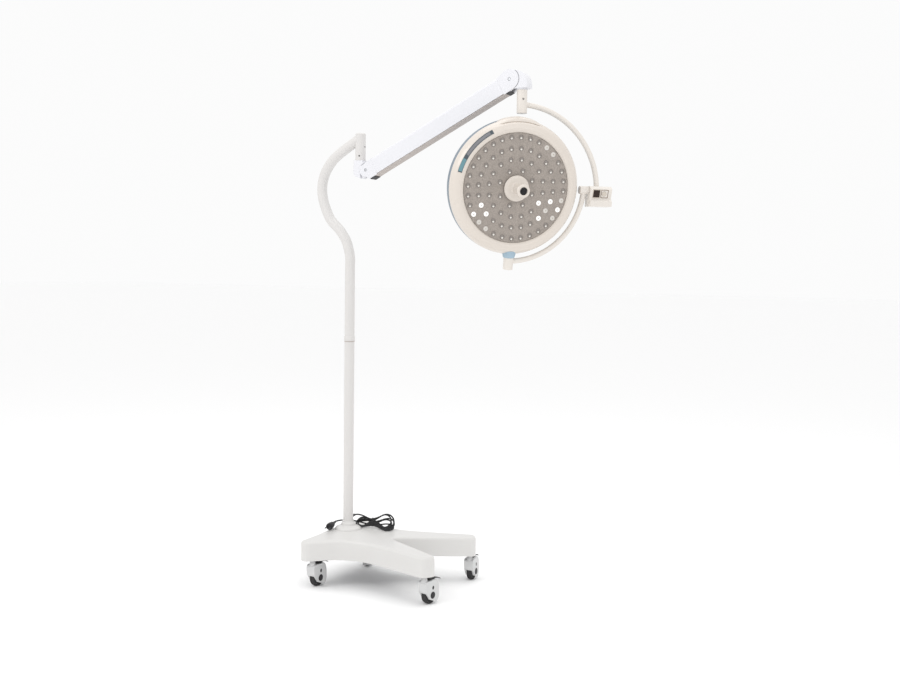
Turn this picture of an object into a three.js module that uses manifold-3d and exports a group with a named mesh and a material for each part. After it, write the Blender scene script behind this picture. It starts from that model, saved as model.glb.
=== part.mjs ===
// Mobile surgical light: four-legged base on braked casters, bent column, spring arm,
// two-arc gimbal yoke and a round LED lamp head. Millimetres, +Z up, floor at z = 0.
// The arm and the long legs point along +X, and the column stands on x = 0, y = 0 until the
// finished model is moved so that its origin is at the middle of its footprint.
import * as THREE from 'three';
import { mergeVertices } from 'three/addons/utils/BufferGeometryUtils.js';
import Module from 'manifold-3d';

const wasm = await Module();
wasm.setup();

// ---------- driving dimensions ----------
const GAP = 0.3; // between pieces that touch

const FLOOR_TO_SHELL = 108;
const SHELL_TOP = 184; // height of the legs' top face
const HUB_RISE = 13; // how much the hub stands above the legs
const HUB_SPREAD = 110;
const SHELL_WALL = 4;
const EDGE_ROUND = 11;
const FRAME_BOTTOM = 113;
const FRAME_THICK = 36;

const COLUMN_R = 20;
const COLUMN_WALL = 3;
const COLUMN_JOINT_Z = 956;
const COLLAR_R = 22;
const COLLAR_H = 20;
const BEND_START_Z = 1286;
const SOCKET = { x: 45, r: 20.5, bottom: 1668, top: 1775, bore: 15.1 };

const LOWER_PIVOT = new THREE.Vector2(84, 1629);
const UPPER_PIVOT = new THREE.Vector2(694, 1937.5);
const ARM_LENGTH = LOWER_PIVOT.distanceTo(UPPER_PIVOT);
const ARM_TILT = Math.atan2(UPPER_PIVOT.y - LOWER_PIVOT.y, UPPER_PIVOT.x - LOWER_PIVOT.x);
const ARM_HALF_WIDTH = 25;
const ARM_TOP = 29; // above the line of the pivots
const ARM_BOTTOM = -39;
const TONGUE_HALF = 12.5;
const FORK_INNER = 13.2;
const LINK_DROP = 22; // the parallel link's pins hang this far below the arm's pivots
const LINK_R = 3.5;
const PIVOT_PIN_R = 6;

const LAMP_AXIS_X = 735; // the yoke's vertical axis
const LAMP_Z = 1547;
const YOKE_YAW = 43.6; // degrees from +X to the yoke's side joint
const LAMP_OFFSET = -24; // lamp centre from the yoke's axis, along the side joint
const LAMP_ROLL = 11; // degrees: the lamp looks down by this much
const UPPER_ARC_R = 300;
const LOWER_ARC_R = 272;
const ARC_TUBE_R = 10;
const ARC_TUBE_WALL = 2.5;
const YOKE_SLEEVE = { r: 19, bottom: 268, top: 351.6 };
const YOKE_SPINDLE_R = 10.5;
const BAR_R = 14.5;
const BOX = { x0: 266, x1: 352 };

const RIM_R = 246;
const LENS_R = 200;
const LED_RINGS = [
  { count: 8, radius: 66 }, { count: 16, radius: 104.5 },
  { count: 24, radius: 143.5 }, { count: 32, radius: 183 },
];
const LED_TURN = 4.5; // degrees that the rings are turned by
const LED_LENS_R = 11.5;
const HANDLE_SOCKET_R = 13;

const WHEEL_R = 34;
const WHEEL_HALF_WIDTH = 11;
const CASTER_TRAIL = 28;
const CASTERS = [ // stem position, and the way the wheel trails, in degrees from +X
  { x: 458, y: -187, trail: 81 }, { x: 458, y: 187, trail: 98 },
  { x: -32, y: -204, trail: 86 }, { x: -32, y: 204, trail: -60 },
];
const STEM_R = 5.2;

const CORD_R = 3;

// ---------- materials ----------
function finish(color, roughness, metalness = 0) {
  return new THREE.MeshStandardMaterial({ color, roughness, metalness });
}
const shellWhite = finish(0xe6e5e3, 0.35);
const postWhite = finish(0xdedbd8, 0.4, 0.1);
const armWhite = finish(0xf3f3f8, 0.3);
const yokeCream = finish(0xf2ebe4, 0.35);
const rimCream = finish(0xf1e9e0, 0.35);
const backBlueGrey = finish(0xb9c6d2, 0.4);
const paleBlue = finish(0xa8c8e0, 0.4);
const lensTaupe = finish(0xa39a92, 0.3);
const stripGrey = finish(0x9a918c, 0.6);
const darkPlastic = finish(0x454344, 0.6);
const casterGrey = finish(0xd6d7d8, 0.45);
const tyreDark = finish(0x3c3b3c, 0.8);
const displayBrown = finish(0x4a3220, 0.15);
const castIron = finish(0x55565a, 0.7, 0.8);
const steel = finish(0xb5b7ba, 0.35, 1);
const boardGreen = finish(0xe9ece8, 0.6);
const stripTeal = finish(0x56686f, 0.4);
const cordBlack = finish(0x19191b, 0.55);

// ---------- geometry helpers ----------
const DEG = Math.PI / 180;
const FULL = 2 * Math.PI;

function merged(geometry) {
  const bare = geometry.clone();
  bare.deleteAttribute('normal');
  bare.deleteAttribute('uv');
  const joined = mergeVertices(bare, 1e-4);
  const corners = joined.index.array;
  const kept = [];
  for (let i = 0; i < corners.length; i += 3) {
    const [a, b, c] = corners.slice(i, i + 3);
    if (a !== b && b !== c && c !== a) kept.push(a, b, c);
  }
  joined.setIndex(kept);
  return joined;
}

function solid(geometry) {
  const bare = merged(geometry);
  return new wasm.Manifold(new wasm.Mesh({
    numProp: 3,
    vertProperties: new Float32Array(bare.attributes.position.array),
    triVerts: new Uint32Array(bare.index.array),
  }));
}

function geometryOf(body) {
  const mesh = body.getMesh();
  const geometry = new THREE.BufferGeometry();
  geometry.setAttribute('position', new THREE.BufferAttribute(mesh.vertProperties, 3));
  geometry.setIndex(new THREE.BufferAttribute(mesh.triVerts, 1));
  geometry.computeVertexNormals();
  return geometry;
}

function cut(geometry, ...tools) {
  return geometryOf(tools.reduce((body, tool) => body.subtract(solid(tool)), solid(geometry)));
}

function join(geometry, ...others) {
  return geometryOf(others.reduce((body, other) => body.add(solid(other)), solid(geometry)));
}

function common(geometry, other) {
  return geometryOf(solid(geometry).intersect(solid(other)));
}

// A straight round bar from z0 to z1.
function rod(radius, z0, z1, sides = 24) {
  return new THREE.CylinderGeometry(radius, radius, z1 - z0, sides)
    .rotateX(Math.PI / 2).translate(0, 0, (z0 + z1) / 2);
}

// The same bar along X or Y.
function rodX(radius, x0, x1, sides = 24) {
  return rod(radius, x0, x1, sides).rotateY(Math.PI / 2);
}
function rodY(radius, y0, y1, sides = 24) {
  return rod(radius, -y1, -y0, sides).rotateX(Math.PI / 2);
}

function block(x0, x1, y0, y1, z0, z1) {
  return new THREE.BoxGeometry(x1 - x0, y1 - y0, z1 - z0)
    .translate((x0 + x1) / 2, (y0 + y1) / 2, (z0 + z1) / 2);
}

// Turned about Y from [radius, y] points, or about Z from [radius, z] points.
function turnedY(profile, segments = 24) {
  const points = profile.map(([r, y]) => new THREE.Vector2(r, y));
  if (THREE.ShapeUtils.area(points) < 0) points.reverse();
  return merged(new THREE.LatheGeometry(points, segments));
}
function turnedZ(profile, segments = 24) {
  return turnedY(profile, segments).rotateX(Math.PI / 2);
}

// An outline in X and Z, pushed out to y0..y1.
function sideCut(shape, y0, y1, curveSegments = 10) {
  return new THREE.ExtrudeGeometry(shape, { depth: y1 - y0, bevelEnabled: false, curveSegments })
    .rotateX(Math.PI / 2).translate(0, y1, 0);
}

function shapeOf(points) {
  return new THREE.Shape(points.map(([x, y]) => new THREE.Vector2(x, y)));
}

function ringShape(outer, inner, sides) {
  const shape = new THREE.Shape();
  const hole = new THREE.Path();
  for (let i = 0; i < sides; i += 1) {
    const a = (i / sides) * FULL;
    const step = i === 0 ? 'moveTo' : 'lineTo';
    shape[step](outer * Math.cos(a), outer * Math.sin(a));
    if (inner > 0) hole[step](inner * Math.cos(-a), inner * Math.sin(-a));
  }
  if (inner > 0) shape.holes.push(hole);
  return shape;
}

function tubeAlong(curve, outer, inner, steps, sides) {
  return new THREE.ExtrudeGeometry(ringShape(outer, inner, sides), {
    steps, bevelEnabled: false, extrudePath: curve,
  });
}

// Part of a circle in the XZ plane; angles from +X towards +Z.
class ArcXZ extends THREE.Curve {
  constructor(radius, from, to) {
    super();
    this.radius = radius;
    this.from = from;
    this.to = to;
  }

  getPoint(t, target = new THREE.Vector3()) {
    const a = this.from + (this.to - this.from) * t;
    return target.set(this.radius * Math.cos(a), 0, this.radius * Math.sin(a));
  }
}

const root = new THREE.Group();

function add(parent, name, geometry, material) {
  const mesh = new THREE.Mesh(geometry, material);
  mesh.name = name;
  parent.add(mesh);
  return mesh;
}

function frameAt(parent, x, y, z) {
  const group = new THREE.Group();
  group.position.set(x, y, z);
  parent.add(group);
  return group;
}

// ---------- base shell: a moulded cover whose outline has two long and two short legs ----------
const OUTLINE = [ // one half, from the notch between the long legs to the middle of the rear
  [216, 0], [236, -24], [300, -58], [380, -101], [456, -144], // notch
  [487, -163], [486, -186], [464, -212], // long leg's end
  [436, -210], [346, -181], [240, -152], [150, -137], [62, -157], [2, -203], // side
  [-38, -240], [-66, -232], [-76, -204], // short leg's end
  [-70, -100], [-67, 0], // rear
];
const FRONT_END = 6; // index of the outline point in the middle of the long leg's end
const REAR_END = 15; // and of the short leg's end
const outlineCurve = new THREE.CatmullRomCurve3(
  [...OUTLINE, ...OUTLINE.slice(1, -1).reverse().map(([x, y]) => [x, -y])]
    .map(([x, y]) => new THREE.Vector3(x, y, 0)),
  true, 'catmullrom', 0.5,
);
const OUTLINE_COUNT = outlineCurve.points.length;
const NOTCH_STEPS = 14;
const MIDDLE_STEPS = 12;
const REAR_STEPS = 6;
const SIDE_STEPS = NOTCH_STEPS + MIDDLE_STEPS + REAR_STEPS;
const ACROSS_STEPS = 4;
const ROUND_STEPS = 2;
const FRAME_POINTS = 72;

function outlineAt(index, inset) {
  const t = ((index / OUTLINE_COUNT) % 1 + 1) % 1;
  const p = outlineCurve.getPoint(t);
  const d = outlineCurve.getTangent(t);
  const onMiddleLine = index === 0 || index === OUTLINE.length - 1;
  return [p.x + d.y * inset, onMiddleLine ? 0 : p.y - d.x * inset];
}

function crown(x, y) {
  return SHELL_TOP + HUB_RISE * Math.exp(-(x * x + y * y) / (HUB_SPREAD * HUB_SPREAD));
}

// One half of the skin, as rows of points from the side's edge across to the notch, the middle
// line or the rear edge, with a rounded edge and a wall hanging from every outside edge.
function skinTriangles() {
  const [notch, middle, rear, across] = [NOTCH_STEPS, MIDDLE_STEPS, REAR_STEPS, ACROSS_STEPS];
  const count = SIDE_STEPS;
  const triangles = [];
  const same = (a, b) => Math.hypot(a[0] - b[0], a[1] - b[1], a[2] - b[2]) < 1e-3;
  const face = (a, b, c) => {
    if (!same(a, b) && !same(b, c) && !same(c, a)) triangles.push([a, b, c]);
  };
  const quad = (a, b, c, d) => {
    face(a, b, c);
    face(a, c, d);
  };
  const sideIndex = (i) => FRONT_END + (REAR_END - FRONT_END) * (i / count);
  const innerIndex = (i) => (i <= notch ? FRONT_END * (1 - i / notch)
    : OUTLINE.length - 1 - (OUTLINE.length - 1 - REAR_END) * ((i - notch - middle) / rear));
  const onAxis = (i) => i > notch && i < notch + middle;
  const apex = outlineAt(0, EDGE_ROUND)[0];
  const back = outlineAt(OUTLINE.length - 1, EDGE_ROUND)[0];
  const sidePoint = (i) => outlineAt(sideIndex(i), EDGE_ROUND);
  const innerPoint = (i) => (onAxis(i) ? [apex + (back - apex) * ((i - notch) / middle), 0]
    : outlineAt(innerIndex(i), EDGE_ROUND));
  const top = (p) => [p[0], p[1], crown(p[0], p[1])];
  const cell = (i, j) => {
    const a = sidePoint(i);
    const b = innerPoint(i);
    return top([a[0] + ((b[0] - a[0]) * j) / across, a[1] + ((b[1] - a[1]) * j) / across]);
  };
  for (let i = 0; i < count; i += 1) {
    for (let j = 0; j < across; j += 1) {
      quad(cell(i, j), cell(i, j + 1), cell(i + 1, j + 1), cell(i + 1, j));
    }
  }
  const ringPoint = (index, step) => {
    const start = top(outlineAt(index, EDGE_ROUND));
    if (step === 0) return start;
    const turn = (step / ROUND_STEPS) * (Math.PI / 2);
    if (step > ROUND_STEPS) return [...outlineAt(index, 0), FLOOR_TO_SHELL];
    const [x, y] = outlineAt(index, EDGE_ROUND * (1 - Math.sin(turn)));
    return [x, y, start[2] - EDGE_ROUND * (1 - Math.cos(turn))];
  };
  const wall = (fromIndex, toIndex, flip) => {
    for (let step = 0; step <= ROUND_STEPS; step += 1) {
      const [a, b] = [ringPoint(fromIndex, step), ringPoint(toIndex, step)];
      const [c, d] = [ringPoint(toIndex, step + 1), ringPoint(fromIndex, step + 1)];
      if (flip) quad(a, b, c, d);
      else quad(b, a, d, c);
    }
  };
  for (let i = 0; i < count; i += 1) {
    wall(sideIndex(i), sideIndex(i + 1), true);
    if (i < notch || i >= notch + middle) wall(innerIndex(i), innerIndex(i + 1), false);
  }
  const mirrored = triangles.map(([a, b, c]) => [a, c, b].map(([x, y, z]) => [x, -y, z]));
  return triangles.concat(mirrored);
}

function shellBody() {
  const floor = [];
  const half = [];
  for (let i = 0; i < NOTCH_STEPS; i += 1) {
    half.push(outlineAt((FRONT_END * i) / NOTCH_STEPS, 0));
  }
  for (let i = 0; i < SIDE_STEPS; i += 1) {
    half.push(outlineAt(FRONT_END + ((REAR_END - FRONT_END) * i) / SIDE_STEPS, 0));
  }
  for (let i = 0; i <= REAR_STEPS; i += 1) {
    half.push(outlineAt(REAR_END + ((OUTLINE.length - 1 - REAR_END) * i) / REAR_STEPS, 0));
  }
  const loop = [...half, ...half.slice(1, -1).reverse().map(([x, y]) => [x, -y])];
  const contour = loop.map(([x, y]) => new THREE.Vector2(x, y));
  for (const corners of THREE.ShapeUtils.triangulateShape(contour, [])) {
    const upward = THREE.ShapeUtils.area(corners.map((k) => contour[k])) > 0;
    const facingDown = upward ? corners.reverse() : corners;
    floor.push(facingDown.map((k) => [...loop[k], FLOOR_TO_SHELL]));
  }
  const points = skinTriangles().concat(floor).flat(2);
  const geometry = new THREE.BufferGeometry();
  geometry.setAttribute('position', new THREE.Float32BufferAttribute(points, 3));
  return geometry;
}

function outlinePrism(inset, z0, z1) {
  const points = Array.from({ length: FRAME_POINTS }, (_, i) => outlineAt((i * OUTLINE_COUNT)
    / FRAME_POINTS, inset));
  return new THREE.ExtrudeGeometry(shapeOf(points), { depth: z1 - z0, bevelEnabled: false })
    .translate(0, 0, z0);
}
add(root, 'base_shell', cut(shellBody(), outlinePrism(SHELL_WALL, FLOOR_TO_SHELL - 8, SHELL_TOP - 6),
  rod(COLUMN_R + 2 * GAP, SHELL_TOP - 10, SHELL_TOP + HUB_RISE + 5, 28)), shellWhite);

// ---------- base frame: a heavy iron plate that fills the shell and carries the stems ----------
const STEM_TOP = FRAME_BOTTOM + FRAME_THICK - 6;
const frameBlank = outlinePrism(SHELL_WALL + GAP, FRAME_BOTTOM, FRAME_BOTTOM + FRAME_THICK);
const stemBores = CASTERS.map(({ x, y }) => rod(STEM_R + GAP, 90, STEM_TOP + 1, 16).translate(x, y, 0));
const COLUMN_FOOT_Z = FRAME_BOTTOM + 6;
add(root, 'base_frame', cut(frameBlank, rod(COLUMN_R + GAP, COLUMN_FOOT_Z - GAP, 200, 32), ...stemBores),
  castIron);

// ---------- casters: trailing twin hood, wheel, axle with dark caps, brake pedal ----------
const HOOD_HALF = 19;
const HOOD_TOP = 90;
const HOOD_R = 37.6;
const WHEEL_SLOT_HALF = WHEEL_HALF_WIDTH + 0.7;
const AXLE_R = 4;
const CAP_R = 13.5;

function hoodOutline() {
  const shape = new THREE.Shape();
  shape.moveTo(-11, 50);
  shape.lineTo(-13, HOOD_TOP - 11);
  shape.quadraticCurveTo(-12, HOOD_TOP, 0, HOOD_TOP);
  shape.lineTo(48, HOOD_TOP);
  shape.quadraticCurveTo(61, HOOD_TOP - 2, CASTER_TRAIL + HOOD_R, 56);
  shape.absarc(CASTER_TRAIL, WHEEL_R, HOOD_R, 0, -0.9, true);
  shape.lineTo(12, 20);
  return shape;
}

function casterFork() {
  const hood = sideCut(hoodOutline(), -HOOD_HALF, HOOD_HALF, 5);
  const wheelRoom = rodY(WHEEL_R + 1.8, -WHEEL_SLOT_HALF, WHEEL_SLOT_HALF, 24)
    .translate(CASTER_TRAIL, 0, WHEEL_R);
  const axleBore = rodY(AXLE_R + GAP, -30, 30, 14).translate(CASTER_TRAIL, 0, WHEEL_R);
  const stem = turnedZ([[0, HOOD_TOP - 6], [14, HOOD_TOP - 6], [12, HOOD_TOP + 3], [8, FLOOR_TO_SHELL],
    [STEM_R, FRAME_BOTTOM - 1], [STEM_R, STEM_TOP], [0, STEM_TOP]], 14);
  return cut(join(hood, stem), wheelRoom, axleBore);
}

function casterWheel() {
  const w = WHEEL_HALF_WIDTH;
  return turnedY([[AXLE_R + GAP, -w + 2], [25, -w], [30, -w], [WHEEL_R, -w + 5], [WHEEL_R, w - 5],
    [30, w], [25, w], [AXLE_R + GAP, w - 2], [AXLE_R + GAP, -w + 2]], 20);
}

function casterAxle() {
  const inner = HOOD_HALF + GAP;
  return turnedY([[0, -inner - 2.5], [CAP_R - 3, -inner - 2.5], [CAP_R, -inner - 0.5], [CAP_R, -inner],
    [AXLE_R, -inner], [AXLE_R, inner], [CAP_R, inner], [CAP_R, inner + 0.5], [CAP_R - 3, inner + 2.5],
    [0, inner + 2.5]], 12);
}

const PEDAL_HINGE = { x: 50, z: HOOD_TOP + 2.5 };
function brakePedal() { // drawn from its hinge
  const shape = shapeOf([[-33, GAP - 2.5], [-33, 1], [4, 2.5], [22, -0.4], [36, -6.5], [37, -9.5],
    [21, -3.4], [6, -0.6], [-3, GAP - 2.5]]);
  return sideCut(shape, -10, 10);
}

CASTERS.forEach(({ x, y, trail }, i) => {
  const name = `caster_${i + 1}`;
  const group = frameAt(root, x, y, 0);
  group.rotation.z = trail * DEG;
  add(group, `${name}_fork`, casterFork(), casterGrey);
  const atWheel = frameAt(group, CASTER_TRAIL, 0, WHEEL_R);
  add(atWheel, `${name}_wheel`, casterWheel(), tyreDark);
  add(atWheel, `${name}_axle`, casterAxle(), darkPlastic);
  const atPedal = frameAt(group, PEDAL_HINGE.x, 0, PEDAL_HINGE.z);
  add(atPedal, `${name}_pedal`, brakePedal(), darkPlastic);
});

// ---------- column ----------
const HUB_TOP = SHELL_TOP + HUB_RISE;
const FLANGE = { r: 52, height: 35 }; // its underside follows the hub's crown
const flangeProfile = [[COLUMN_R + GAP, HUB_TOP + GAP], [FLANGE.r, crown(FLANGE.r, 0) + 2 * GAP],
  [FLANGE.r, HUB_TOP + 2], [49, HUB_TOP + 7], [41, HUB_TOP + 10], [28.5, HUB_TOP + 12],
  [27.5, HUB_TOP + 20], [25, HUB_TOP + 25], [22.5, HUB_TOP + 27], [22.5, HUB_TOP + FLANGE.height],
  [COLUMN_R + GAP, HUB_TOP + FLANGE.height], [COLUMN_R + GAP, HUB_TOP + GAP]];
add(root, 'column_flange', turnedZ(flangeProfile, 32), postWhite);

const columnInner = COLUMN_R - COLUMN_WALL;
const CORD_EXIT_Z = 242;
const lowerTube = turnedZ([[columnInner, COLUMN_FOOT_Z], [COLUMN_R, COLUMN_FOOT_Z],
  [COLUMN_R, COLUMN_JOINT_Z], [columnInner, COLUMN_JOINT_Z], [columnInner, COLUMN_FOOT_Z]], 32);
const cordHole = rodY(CORD_R + 1.5, 10, 30, 12).translate(0, 0, CORD_EXIT_Z);
add(root, 'column_lower', cut(lowerTube, cordHole), postWhite);

const BEND_SIDES = 16;
const bendPoints = [[0, BEND_START_Z - 30], [0, BEND_START_Z], [-6, 1318], [-21, 1358], [-51, 1398],
  [-92, 1437], [-114, 1477], [-129, 1517], [-135, 1557], [-130, 1598], [-113, 1637], [-82, 1675],
  [-35, 1709], [SOCKET.x - 22, 1743], [SOCKET.x + 4, 1758]];
const bendPath = new THREE.CatmullRomCurve3(bendPoints.map(([x, z]) => new THREE.Vector3(x, 0, z)),
  false, 'centripetal');
const bentTube = tubeAlong(bendPath, COLUMN_R, columnInner, 26, BEND_SIDES);
const spigotR = columnInner - GAP; // goes 90 mm down into the lower tube
const straightTube = turnedZ([[spigotR - 3, COLUMN_JOINT_Z - 90], [spigotR, COLUMN_JOINT_Z - 90],
  [spigotR, COLUMN_JOINT_Z + GAP], [COLLAR_R, COLUMN_JOINT_Z + GAP],
  [COLLAR_R, COLUMN_JOINT_Z + COLLAR_H - 2], [COLUMN_R, COLUMN_JOINT_Z + COLLAR_H],
  [COLUMN_R, BEND_START_Z - 28], [columnInner, BEND_START_Z - 28],
  [columnInner, COLUMN_JOINT_Z + COLLAR_H], [spigotR - 3, COLUMN_JOINT_Z + COLLAR_H],
  [spigotR - 3, COLUMN_JOINT_Z - 90]], BEND_SIDES);
const socketRoom = rod(SOCKET.r + GAP, SOCKET.bottom - 20, SOCKET.top + 40, 32)
  .translate(SOCKET.x, 0, 0);
add(root, 'column_upper', cut(join(bentTube, straightTube), socketRoom), postWhite);

// ---------- socket sleeve at the end of the bent column, with two set screws ----------
const SET_SCREWS = [{ z: 1685, turn: -72 }, { z: 1721, turn: 0 }]; // degrees round the sleeve
const SET_SCREW_R = 3;
const socketBody = turnedZ([[0, SOCKET.top - 12], [SOCKET.bore, SOCKET.top - 12],
  [SOCKET.bore, SOCKET.bottom], [SOCKET.r, SOCKET.bottom], [SOCKET.r, SOCKET.top - 4],
  [SOCKET.r - 4, SOCKET.top], [0, SOCKET.top]], 32).translate(SOCKET.x, 0, 0);
const screwHoles = SET_SCREWS.map(({ z, turn }) => rodX(SET_SCREW_R + GAP, 10, 30, 12)
  .rotateZ(turn * DEG).translate(SOCKET.x, 0, z));
add(root, 'socket_sleeve', cut(socketBody, ...screwHoles), postWhite);
SET_SCREWS.forEach(({ z, turn }, i) => {
  const screw = rodX(SET_SCREW_R, SOCKET.bore + 0.4, SOCKET.r - 0.6, 12).rotateZ(turn * DEG);
  add(root, `socket_screw_${i + 1}`, screw.translate(SOCKET.x, 0, z), darkPlastic);
});

// ---------- knuckle: turns in the sleeve and carries the arm's lower pivot ----------
const RELIEF_R = 29.2;
const TONGUE_R = 28;
const LINK_PIN_R = 3;
const knuckle = frameAt(root, LOWER_PIVOT.x, 0, LOWER_PIVOT.y);
const neckX = SOCKET.x - LOWER_PIVOT.x;
const neckTop = SOCKET.bottom - GAP - LOWER_PIVOT.y;
const NECK_R = 20.5;
const ELBOW = neckX - 29; // the knuckle's furthest point behind the neck
const knuckleShape = new THREE.Shape();
knuckleShape.moveTo(neckX - NECK_R, neckTop);
knuckleShape.lineTo(neckX - NECK_R, 26);
knuckleShape.quadraticCurveTo(ELBOW, 16, ELBOW, 0);
knuckleShape.quadraticCurveTo(ELBOW + 6, -26, -20, -33);
knuckleShape.absarc(0, 0, TONGUE_R, -112 * DEG, 78 * DEG, false);
knuckleShape.lineTo(neckX + NECK_R, 30);
knuckleShape.lineTo(neckX + NECK_R, neckTop);
const knucklePlan = new THREE.Shape();
knucklePlan.absarc(ELBOW + NECK_R, 0, NECK_R, Math.PI / 2, 1.5 * Math.PI, false);
knucklePlan.lineTo(60, -NECK_R);
knucklePlan.lineTo(60, NECK_R);
const planPrism = new THREE.ExtrudeGeometry(knucklePlan, {
  depth: 120, bevelEnabled: false, curveSegments: 16,
}).translate(0, 0, -60);
const neckRoom = 21; // depth of the spindle's bore in the neck
const pinBores = [rodY(PIVOT_PIN_R + GAP, -30, 30, 16),
  rodY(LINK_PIN_R + GAP, -30, 30, 12).translate(0, 0, -LINK_DROP)];
const cheekRooms = [[TONGUE_HALF, 40], [-40, -TONGUE_HALF]];
add(knuckle, 'knuckle', cut(common(sideCut(knuckleShape, -NECK_R, NECK_R, 8), planPrism),
  ...cheekRooms.map(([y0, y1]) => rodY(RELIEF_R, y0, y1, 32)),
  ...cheekRooms.map(([y0, y1]) => block(-27, 60, y0, y1, -60, -10)), ...pinBores,
  block(-14, 9, -5, 5, -50, -8), block(9, 50, -5, 5, -50, 12),
  rod(SOCKET.bore, neckTop - neckRoom, neckTop + 5, 24).translate(neckX, 0, 0)), postWhite);
add(knuckle, 'swivel_spindle', rod(SOCKET.bore - GAP, neckTop - neckRoom + GAP,
  SOCKET.top - 13 - LOWER_PIVOT.y, 24).translate(neckX, 0, 0), steel);

// ---------- spring arm, along its own X from the lower to the upper pivot ----------
const arm = frameAt(root, LOWER_PIVOT.x, 0, LOWER_PIVOT.y);
arm.rotation.y = -ARM_TILT;
const BEAM = { x0: 40, x1: 640, wall: 3, bottom: -35.5, round: 8 };
const W = ARM_HALF_WIDTH;
const beamShape = new THREE.Shape();
beamShape.moveTo(-W, BEAM.bottom);
beamShape.lineTo(-W, ARM_TOP - BEAM.round);
beamShape.quadraticCurveTo(-W, ARM_TOP, -W + BEAM.round, ARM_TOP);
beamShape.lineTo(W - BEAM.round, ARM_TOP);
beamShape.quadraticCurveTo(W, ARM_TOP, W, ARM_TOP - BEAM.round);
beamShape.lineTo(W, BEAM.bottom);
beamShape.lineTo(W - BEAM.wall, BEAM.bottom);
beamShape.lineTo(W - BEAM.wall, ARM_TOP - BEAM.round);
beamShape.quadraticCurveTo(W - BEAM.wall, ARM_TOP - BEAM.wall, W - BEAM.round, ARM_TOP - BEAM.wall);
beamShape.lineTo(-W + BEAM.round, ARM_TOP - BEAM.wall);
beamShape.quadraticCurveTo(-W + BEAM.wall, ARM_TOP - BEAM.wall, -W + BEAM.wall, ARM_TOP - BEAM.round);
beamShape.lineTo(-W + BEAM.wall, BEAM.bottom);

// An outline in Y and Z, pushed out from x0 to x1.
function endCut(shape, x0, x1, curveSegments = 5) {
  return new THREE.ExtrudeGeometry(shape, { depth: x1 - x0, bevelEnabled: false, curveSegments })
    .rotateZ(Math.PI / 2).rotateY(Math.PI / 2).translate(x0, 0, 0);
}
add(arm, 'arm_beam', endCut(beamShape, BEAM.x0, BEAM.x1), armWhite);
const COVER = { x0: BEAM.x0 - 14, x1: BEAM.x1 + 8, half: 22 };
add(arm, 'arm_under_cover',
  block(COVER.x0, COVER.x1, -COVER.half, COVER.half, ARM_BOTTOM, BEAM.bottom - GAP), stripGrey);

// A fork end: two cheeks round a pivot, joined by a bridge next to the beam.
function forkEnd(shape, pivotX, slot, coverRoom) {
  const [slot0, slot1] = slot;
  return cut(
    sideCut(shape, -W, W, 10),
    block(slot0, slot1, -FORK_INNER, FORK_INNER, -60, 60),
    block(slot0 - 60, slot1 + 60, -6, 6, -30, -9),
    block(...coverRoom, -COVER.half - GAP, COVER.half + GAP, -60, BEAM.bottom),
    rodY(PIVOT_PIN_R + GAP, -40, 40, 16).translate(pivotX, 0, 0),
  );
}
const lowerForkShape = new THREE.Shape();
lowerForkShape.absarc(0, 0, 27, 122 * DEG, 250 * DEG, false);
lowerForkShape.lineTo(-2, ARM_BOTTOM + 3);
lowerForkShape.quadraticCurveTo(-1, ARM_BOTTOM, 4, ARM_BOTTOM);
lowerForkShape.lineTo(BEAM.x0 - GAP, ARM_BOTTOM);
lowerForkShape.lineTo(BEAM.x0 - GAP, ARM_TOP);
add(arm, 'arm_lower_fork', forkEnd(lowerForkShape, 0, [-60, 29.5], [COVER.x0 - GAP, 80]), armWhite);

const FORK_R = 37;
const upperForkShape = new THREE.Shape();
upperForkShape.moveTo(BEAM.x1 + GAP, ARM_BOTTOM);
upperForkShape.lineTo(ARM_LENGTH - 17, ARM_BOTTOM);
upperForkShape.absarc(ARM_LENGTH, 0, FORK_R, -100 * DEG, 100 * DEG, false);
upperForkShape.quadraticCurveTo(BEAM.x1 + 22, ARM_TOP + 3, BEAM.x1 + GAP, ARM_TOP);
add(arm, 'arm_upper_fork', forkEnd(upperForkShape, ARM_LENGTH, [ARM_LENGTH - 30, ARM_LENGTH + 60],
  [600, COVER.x1 + GAP]), armWhite);

function pivotPin(length) {
  return turnedY([[0, -length - 1.5], [PIVOT_PIN_R - 1.5, -length - 1.5], [PIVOT_PIN_R, -length],
    [PIVOT_PIN_R, length], [PIVOT_PIN_R - 1.5, length + 1.5], [0, length + 1.5]], 16);
}
add(arm, 'arm_pivot_pin_lower', pivotPin(W - 1), steel);
add(arm, 'arm_pivot_pin_upper', pivotPin(W - 1).translate(ARM_LENGTH, 0, 0), steel);
add(arm, 'balance_spring', turnedY([[0, -BEAM.x1], [4, -BEAM.x1], [4, -422], [10, -420], [10, -92],
  [7, -90], [7, -BEAM.x0], [0, -BEAM.x0]], 20).rotateZ(Math.PI / 2).translate(0, 0, 4), steel);
const CAP_DEPTH = 2.6;
[['lower', 3, COVER.x0 - GAP], ['upper', COVER.x1 + GAP, ARM_LENGTH - 17]].forEach(([end, x0, x1]) => {
  add(arm, `arm_cap_${end}`, block(x0, x1, -20, 20, ARM_BOTTOM - CAP_DEPTH, ARM_BOTTOM - GAP),
    darkPlastic);
});

// ---------- parallel link, which keeps the head level ----------
const link = frameAt(root, LOWER_PIVOT.x, 0, LOWER_PIVOT.y - LINK_DROP);
link.rotation.y = -ARM_TILT;
const linkEnds = [0, ARM_LENGTH].flatMap((x) => [rodY(6, -4, 4, 16).translate(x, 0, 0),
  rodY(LINK_PIN_R, -11, 11, 12).translate(x, 0, 0)]);
add(link, 'parallel_link', join(rodX(LINK_R, 0, ARM_LENGTH, 12), ...linkEnds), steel);

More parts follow.
